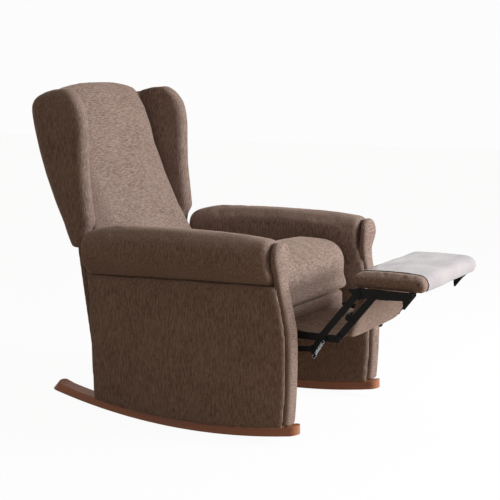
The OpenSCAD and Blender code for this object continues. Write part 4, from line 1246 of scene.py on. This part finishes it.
@dataclass
class Footrest:
    """The footrest with its pad and clear sheet, the calf panel under it, and the apron behind that.

    Attributes:
        shop: The workshop.
        rests_at: Height up to which the pad keeps its shape as it is blown up.
        crown_height: Height over which its crown grows.
        waist: Height from which the pad draws in downwards.
        waist_draw: How much it has drawn in at its lower edge, along X and Y, as shares.
        sheet_ends: The sheet's two ends, along X.
        sheet_core: Middle of the round that the sheet makes, along Y and Z.
        sheet_turn: Where that round starts and ends, as degrees up from the front.
        sheet_cells: Cells of the sheet across and round.
        sheet_probe: Distance from which the pad's surface is felt for.
        sheet_gap: Distance between the sheet and the pad.
        sheet_wave: Half the height of the sheet's waves.
        sheet_waves: Their radians per metre: across and the bend in that, round and the slant in that.
        sheet_taut: How often the sheet is evened out across and round.
        ridge_passes: How often the ridges that show through are spread and softened.
        sheet_ridge: Tallest ridge of the pad that shows through.
        sheet_thick: Thickness of the sheet.
        apron_half: Half the apron's width.
        apron_line: The line that the apron hangs along, from border to calf panel, along Y and Z.
        apron_passes: How often that line is evened out.
        apron_drop: How far it hangs below that line.
        apron_sag: How much lower its middle hangs.
        apron_fold: Height of its folds.
        apron_folds: Their radians per metre, and the size and number of their bends.
        apron_cells: Cells of its cloth across and along.
        apron_thick: Thickness of its cloth.
        apron_squashed: Share of its length that is left when the footrest is stowed; not used.
    """

    shop: Workshop
    rests_at: float = 512 * MM
    crown_height: float = 20 * MM
    waist: float = 548 * MM
    waist_draw: tuple[float, float] = (0.060, 0.085)
    sheet_ends: tuple[float, float] = (-0.208, 0.234)
    sheet_core: tuple[float, float] = (-0.607, 0.520)
    sheet_turn: tuple[float, float] = (-4.5, 184.5)
    sheet_cells: tuple[int, int] = (74, 110)
    sheet_probe: float = 0.3
    sheet_gap: float = 1.0 * MM
    sheet_wave: float = 0.9 * MM
    sheet_waves: tuple[float, float, float, float] = (31, 24, 37, 9)
    sheet_taut: tuple[int, int] = (60, 4)
    ridge_passes: tuple[int, int] = (8, 3)
    sheet_ridge: float = 3.5 * MM
    sheet_thick: float = 0.6 * MM
    apron_half: float = 0.205
    apron_line: tuple[tuple[float, float], ...] = (
        (-0.2397, 0.362), (-0.251, 0.354), (-0.278, 0.348), (-0.315, 0.343), (-0.350, 0.3395),
        (-0.385, 0.3375), (-0.421, 0.337), (-0.443, 0.340))
    apron_drop: float = 1.5 * MM
    apron_sag: float = 1.2 * MM
    apron_fold: float = 1.1 * MM
    apron_folds: tuple[float, float, float] = (85, 2.2, 4)
    apron_cells: tuple[int, int] = (102, 56)
    apron_passes: int = 6
    apron_thick: float = 2.6 * MM
    apron_squashed: float = 0.03

    def build(self) -> None:
        """Make the footrest's soft pieces and finish its fittings."""
        cover = self.build_pad()
        calf = Pad(("calf_pad", "calf_board"), "front_bars", voxel=4 * MM, relax=6, fill=0.6)
        self.shop.finish_pad(self.shop.grow(calf, "chenille_x"), calf)
        self.lay_sheet(cover)
        self.hang_apron()
        self.shop.carry("footrest_screws", "zinc")
        self.shop.carry("footrest_bumpers", "rubber", RUBBER_EDGE)

    def build_pad(self) -> bpy.types.Object:
        """Make the footrest's pad, drawn in towards its lower edge.

        Returns:
            Its cover.
        """
        pad = Pad(("footrest_pad", "footrest_board"), "footrest", voxel=4 * MM, relax=14, shrink=2 * MM,
                  swell=6 * MM, proud=0.4 * MM, fill=0.7, hold=over(self.rests_at, self.crown_height))
        cover = self.shop.grow(pad, "chenille_z")
        rows = points(cover.data)
        middle = (rows.max(0) + rows.min(0)) / 2
        part = np.clip((self.waist - rows[:, 2]) / (self.waist - rows[:, 2].min()), 0, 1) ** 2
        for axis, draw in enumerate(self.waist_draw):
            rows[:, axis] -= (rows[:, axis] - middle[axis]) * draw * part
        put(cover.data, rows)
        return self.shop.finish_pad(cover, pad)

    def feel_pad(self, cover: bpy.types.Object, xs: np.ndarray, ways: Points) -> np.ndarray:
        """Measure how far the pad reaches out from the middle of the sheet's round.

        Args:
            cover: The pad's finished cover.
            xs: Where to measure, along X.
            ways: Directions to measure in.

        Returns:
            One distance per place and direction, in metres.
        """
        tree = BVHTree.FromPolygons([v.co[:] for v in cover.data.vertices],
                                    [p.vertices[:] for p in cover.data.polygons])
        out = np.full((len(xs), len(ways)), 0.1 * self.sheet_probe)
        for i, x in enumerate(xs):
            for j, way in enumerate(ways):
                far = Vector((x, *self.sheet_core)) + Vector(way) * self.sheet_probe
                distance = tree.ray_cast(far, -Vector(way))[3]
                if distance is not None:
                    out[i, j] = self.sheet_probe - distance
        return out

    def wrap_pad(self, cover: bpy.types.Object) -> Points:
        """Find where a taut sheet lies round the pad: down its rear edge, over the top and down the front.

        Args:
            cover: The pad's finished cover.

        Returns:
            The sheet's points, by their place across and round the pad.
        """
        across, round_it = self.sheet_cells
        turns = np.radians(np.linspace(*self.sheet_turn, round_it + 1))
        ways = np.stack([np.zeros_like(turns), -np.cos(turns), np.sin(turns)], 1)
        xs = np.linspace(*self.sheet_ends, across + 1)
        out = self.feel_pad(cover, xs, ways)
        taut = even_out(even_out(out.T, self.sheet_taut[0], True).T, self.sheet_taut[1])
        proud = (out - taut).max(0)
        spread, soften = self.ridge_passes
        for _ in range(spread):
            proud = np.maximum(even_out(proud, 1), proud)
        taut += np.clip(even_out(proud, soften), 0, self.sheet_ridge)[None]
        grid = np.array([0.0, *self.sheet_core]) + taut[:, :, None] * ways[None]
        grid[:, :, 0] = xs[:, None]
        return grid

    def lay_sheet(self, cover: bpy.types.Object) -> None:
        """Wrap the clear sheet round the pad, slightly wavy.

        Args:
            cover: The pad's finished cover.
        """
        grid = self.wrap_pad(cover)
        mesh = span_grid("footrest_sheet", grid)
        rows, normal = points(mesh), points(mesh, "normal")
        if normal[np.argmax(rows[:, 2])][2] < 0:
            mesh.flip_normals()
            normal = -normal
        x, y = rows[:, 0], rows[:, 1]
        across, bend, round_it, slant = self.sheet_waves
        wave = np.sin(x * across + 1.2 * np.sin(y * bend)) * np.sin(y * round_it + x * slant)
        put(mesh, rows + normal * (self.sheet_gap + self.sheet_wave * (1 + wave))[:, None])
        obj = link("footrest_sheet", mesh)
        self.shop.paint(obj, "vinyl")
        thicken(obj, self.sheet_thick)
        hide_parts("footrest_cover")
        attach(obj, "footrest")

    def hang_apron(self) -> None:
        """Stretch the apron from the seat's border to the calf panel."""
        line = np.array(self.apron_line)
        steps = np.concatenate([[0], np.cumsum(np.linalg.norm(np.diff(line, axis=0), axis=1))])
        run = np.linspace(0, steps[-1], self.apron_cells[1] + 1)
        y, z = even_out(np.stack([np.interp(run, steps, line[:, k]) for k in (0, 1)]), self.apron_passes)
        x = np.linspace(-self.apron_half, self.apron_half, self.apron_cells[0] + 1)[:, None]
        part = run / steps[-1]
        turns, bend, bends = self.apron_folds
        fold = np.sin(x * turns + bend * np.sin(part * bends)) * np.sin(math.pi * part)
        low = self.apron_drop + self.apron_sag * (1 - (x / self.apron_half) ** 2)
        grid = np.stack(np.broadcast_arrays(x, y, z - low + self.apron_fold * fold), 2)
        mesh = span_grid("calf_apron_cloth", grid)
        mesh.flip_normals()
        obj = link("calf_apron_cloth", mesh)
        self.shop.paint(obj, "chenille_x")
        thicken(obj, self.apron_thick)
        bake(obj)
        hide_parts("calf_apron")
        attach(obj, "base")
        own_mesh(obj)
        LOG.info("hung the apron")


@dataclass
class Linkage:
    """The steel side plates, links, rivets and springs of the footrest.

    Attributes:
        shop: The workshop.
        steel: Its black pieces.
        springs: Its springs.
        calf_pivot: Where the calf panel's brackets turn, along Y and Z.
        calf_lean: Their lean from upright, in degrees.
        slim_share: How much narrower they are behind their pivots.
        slim_start: Distance behind the pivot at which that starts.
        slim_blend: Distance over which it grows.
        slim_middle: The line that they narrow to, below the pivot.
    """

    shop: Workshop
    steel: tuple[str, ...] = (
        "mechanism_plate_right", "mechanism_plate_left", "fold_arm_right", "fold_arm_left", "torque_tube",
        "front_bar_right", "front_bar_left", "rear_bar_right", "rear_bar_left", "control_links",
        "footrest_bracket_right", "footrest_bracket_left", "fold_arm_rivets", "rear_bar_rivets",
        "footrest_rivets")
    springs: tuple[str, ...] = ("hold_spring_right", "hold_spring_left")
    calf_pivot: tuple[float, float] = (-0.4957, 0.4068)
    calf_lean: float = 23.0
    slim_share: float = 0.62
    slim_start: float = 4 * MM
    slim_blend: float = 6 * MM
    slim_middle: float = 2 * MM

    def slim_brackets(self) -> None:
        """Narrow the calf panel's brackets behind their pivots, so that the cloth shows between the bars."""
        mesh = self.shop.nodes["calf_brackets"].data.copy()
        lean = math.radians(self.calf_lean)
        up, out = np.array([-math.sin(lean), math.cos(lean)]), np.array([-math.cos(lean), -math.sin(lean)])
        rows = points(mesh)
        side = rows[:, 1:] - np.array(self.calf_pivot)
        part = self.slim_share * np.clip((-(side @ out) - self.slim_start) / self.slim_blend, 0, 1)
        rows[:, 1:] -= ((side @ up + self.slim_middle) * part)[:, None] * up
        put(mesh, rows)
        brackets = link("calf_bracket_plates", mesh)
        self.shop.paint(brackets, "steel", False)
        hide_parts("calf_brackets")
        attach(brackets, "front_bars")

    def build(self) -> None:
        """Finish the links."""
        self.slim_brackets()
        for name in self.steel:
            self.shop.carry(name, "steel", BAR_EDGE)
        self.shop.carry("mechanism_fixings", "zinc")
        for name in self.springs:
            self.shop.carry(name, "zinc")
            subdivide(self.shop.nodes[name])
        self.shop.carry("mechanism_rails", "pine_y", WOOD_EDGE)


@dataclass(frozen=True)
class Lamp:
    """One soft square lamp.

    Attributes:
        name: Its name.
        spot: Where it is.
        aim: Where it shines.
        size: Its side, in metres.
        power: Its power, in watts.
    """

    name: str
    spot: tuple[float, float, float]
    aim: tuple[float, float, float]
    size: float
    power: float


@dataclass
class Studio:
    """The pale floor, the soft lights and the photograph's camera.

    Attributes:
        camera_place: Where the camera is.
        camera_turn: How it is turned, in degrees.
        lens: Its focal length on a sensor of the width below, both in millimetres.
        sensor: That width.
        lamps: The lamps.
        sky: Colour of the light from all round.
        ambient: Its strength.
        white: Level of the background as it is seen.
        floor_half: Half the floor's side.
        floor_paint: The two tones of the floor's paint as they light the chair.
        floor_speck: Size of its patches.
        shade: Colour that the floor adds to its glow where it is lit, which the chair's shadow takes away.
        glow: Strength of the floor's own glow.
    """

    camera_place: tuple[float, float, float] = (-3.627, -1.992, 1.182)
    camera_turn: tuple[float, float, float] = (81.47, 0.0, -61.1)
    lens: float = 86.4
    sensor: float = 36.0
    lamps: tuple[Lamp, ...] = (
        Lamp("key", (0.9, -3.8, 1.9), (0.0, -0.1, 0.6), 2.0, 245.0),
        Lamp("side", (-3.6, -0.9, 2.6), (0.0, 0.1, 0.5), 2.6, 5.0),
        Lamp("top", (0.3, 0.4, 4.0), (0.0, 0.0, 0.4), 3.0, 16.0))
    sky: str = "FFE0C2"
    ambient: float = 0.25
    white: float = 0.976
    floor_half: float = 14.0
    floor_paint: tuple[str, str] = ("A6927F", "A28F7D")
    floor_speck: float = 400 * MM
    shade: Colour = (0.044, 0.046, 0.050, 1.0)
    glow: float = 0.975

    @staticmethod
    def seen(tree: bpy.types.NodeTree) -> bpy.types.NodeSocket:
        """Tell the rays that show the studio from those that only light it.

        Args:
            tree: The tree of the floor or of the world.

        Returns:
            A socket that is 1 where the studio is seen, mirrored or seen through something.
        """
        ways = add(tree, "LightPath").outputs
        first = add(tree, "Math", {0: ways["Is Camera Ray"], 1: ways["Is Glossy Ray"]}, operation="MAXIMUM")
        return add(tree, "Math", {0: first.outputs[0], 1: ways["Is Transmission Ray"]},
                   operation="MAXIMUM").outputs[0]

    def paint_floor(self) -> bpy.types.Material:
        """Pale painted floor that keeps the chair's shadow.

        Returns:
            The material.
        """
        material, tree = blank("pale_painted_floor")
        speck = even(self.floor_speck, rough=0.55).draw(tree)
        tones = [srgb(tone) for tone in self.floor_paint]
        paint = add(tree, "Mix", {0: speck, 6: tones[0], 7: tones[1]}, data_type="RGBA").outputs[2]
        lit = add(tree, "BsdfDiffuse", {0: paint})
        shade = add(tree, "BsdfDiffuse", {0: self.shade})
        glow = add(tree, "Emission", {0: (self.white, self.white, self.white, 1.0), 1: self.glow})
        shown = add(tree, "AddShader", {0: shade.outputs[0], 1: glow.outputs[0]})
        both = add(tree, "MixShader", {0: self.seen(tree), 1: lit.outputs[0], 2: shown.outputs[0]})
        add(tree, "OutputMaterial", {0: both.outputs[0]})
        return material

    def set_camera(self) -> None:
        """Put the camera where the photograph was taken from."""
        scene = bpy.context.scene
        camera = bpy.data.objects.new("camera", bpy.data.cameras.new("camera"))
        scene.collection.objects.link(camera)
        camera.location = self.camera_place
        camera.rotation_euler = [math.radians(a) for a in self.camera_turn]
        camera.data.lens = self.lens
        camera.data.sensor_width = self.sensor
        scene.camera = camera

    def lay_floor(self) -> None:
        """Lay the floor."""
        mesh = bpy.data.meshes.new("floor")
        r = self.floor_half
        mesh.from_pydata([(-r, -r, 0), (r, -r, 0), (r, r, 0), (-r, r, 0)], [], [(0, 1, 2, 3)])
        floor = link("floor", mesh)
        mesh.materials.append(self.paint_floor())

    @staticmethod
    def hang_lamp(lamp: Lamp) -> None:
        """Hang one lamp and aim it.

        Args:
            lamp: What to hang.
        """
        data = bpy.data.lights.new(lamp.name, "AREA")
        data.shape = "SQUARE"
        data.size = lamp.size
        data.energy = lamp.power
        obj = bpy.data.objects.new(lamp.name, data)
        bpy.context.scene.collection.objects.link(obj)
        obj.location = lamp.spot
        obj.rotation_euler = (Vector(lamp.aim) - Vector(lamp.spot)).to_track_quat("-Z", "Y").to_euler()

    def light_world(self) -> None:
        """Light the chair from all round, behind a white that only shows."""
        world = bpy.data.worlds.new("studio")
        world.use_nodes = True
        tree = world.node_tree
        tree.nodes.clear()
        lit = add(tree, "Background", {0: srgb(self.sky), 1: self.ambient})
        shown = add(tree, "Background", {0: (self.white, self.white, self.white, 1.0), 1: 1.0})
        both = add(tree, "MixShader", {0: self.seen(tree), 1: lit.outputs[0], 2: shown.outputs[0]})
        add(tree, "OutputWorld", {0: both.outputs[0]})
        bpy.context.scene.world = world

    def build(self) -> None:
        """Make the camera, the floor, the lamps and the world."""
        self.set_camera()
        self.lay_floor()
        for lamp in self.lamps:
            self.hang_lamp(lamp)
        self.light_world()
        bpy.context.scene.view_settings.view_transform = "Standard"


def main() -> None:
    """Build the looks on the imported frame."""
    logging.basicConfig(level=logging.INFO, format="%(name)s %(message)s")
    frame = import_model()
    shop = Workshop(frame)
    Studio().build()
    for part in (Rockers(shop), Arms(shop), Seat(shop), Back(shop), Footrest(shop), Linkage(shop)):
        part.build()
        LOG.info("built %s", type(part).__name__)


if __name__ == "__main__":
    main()
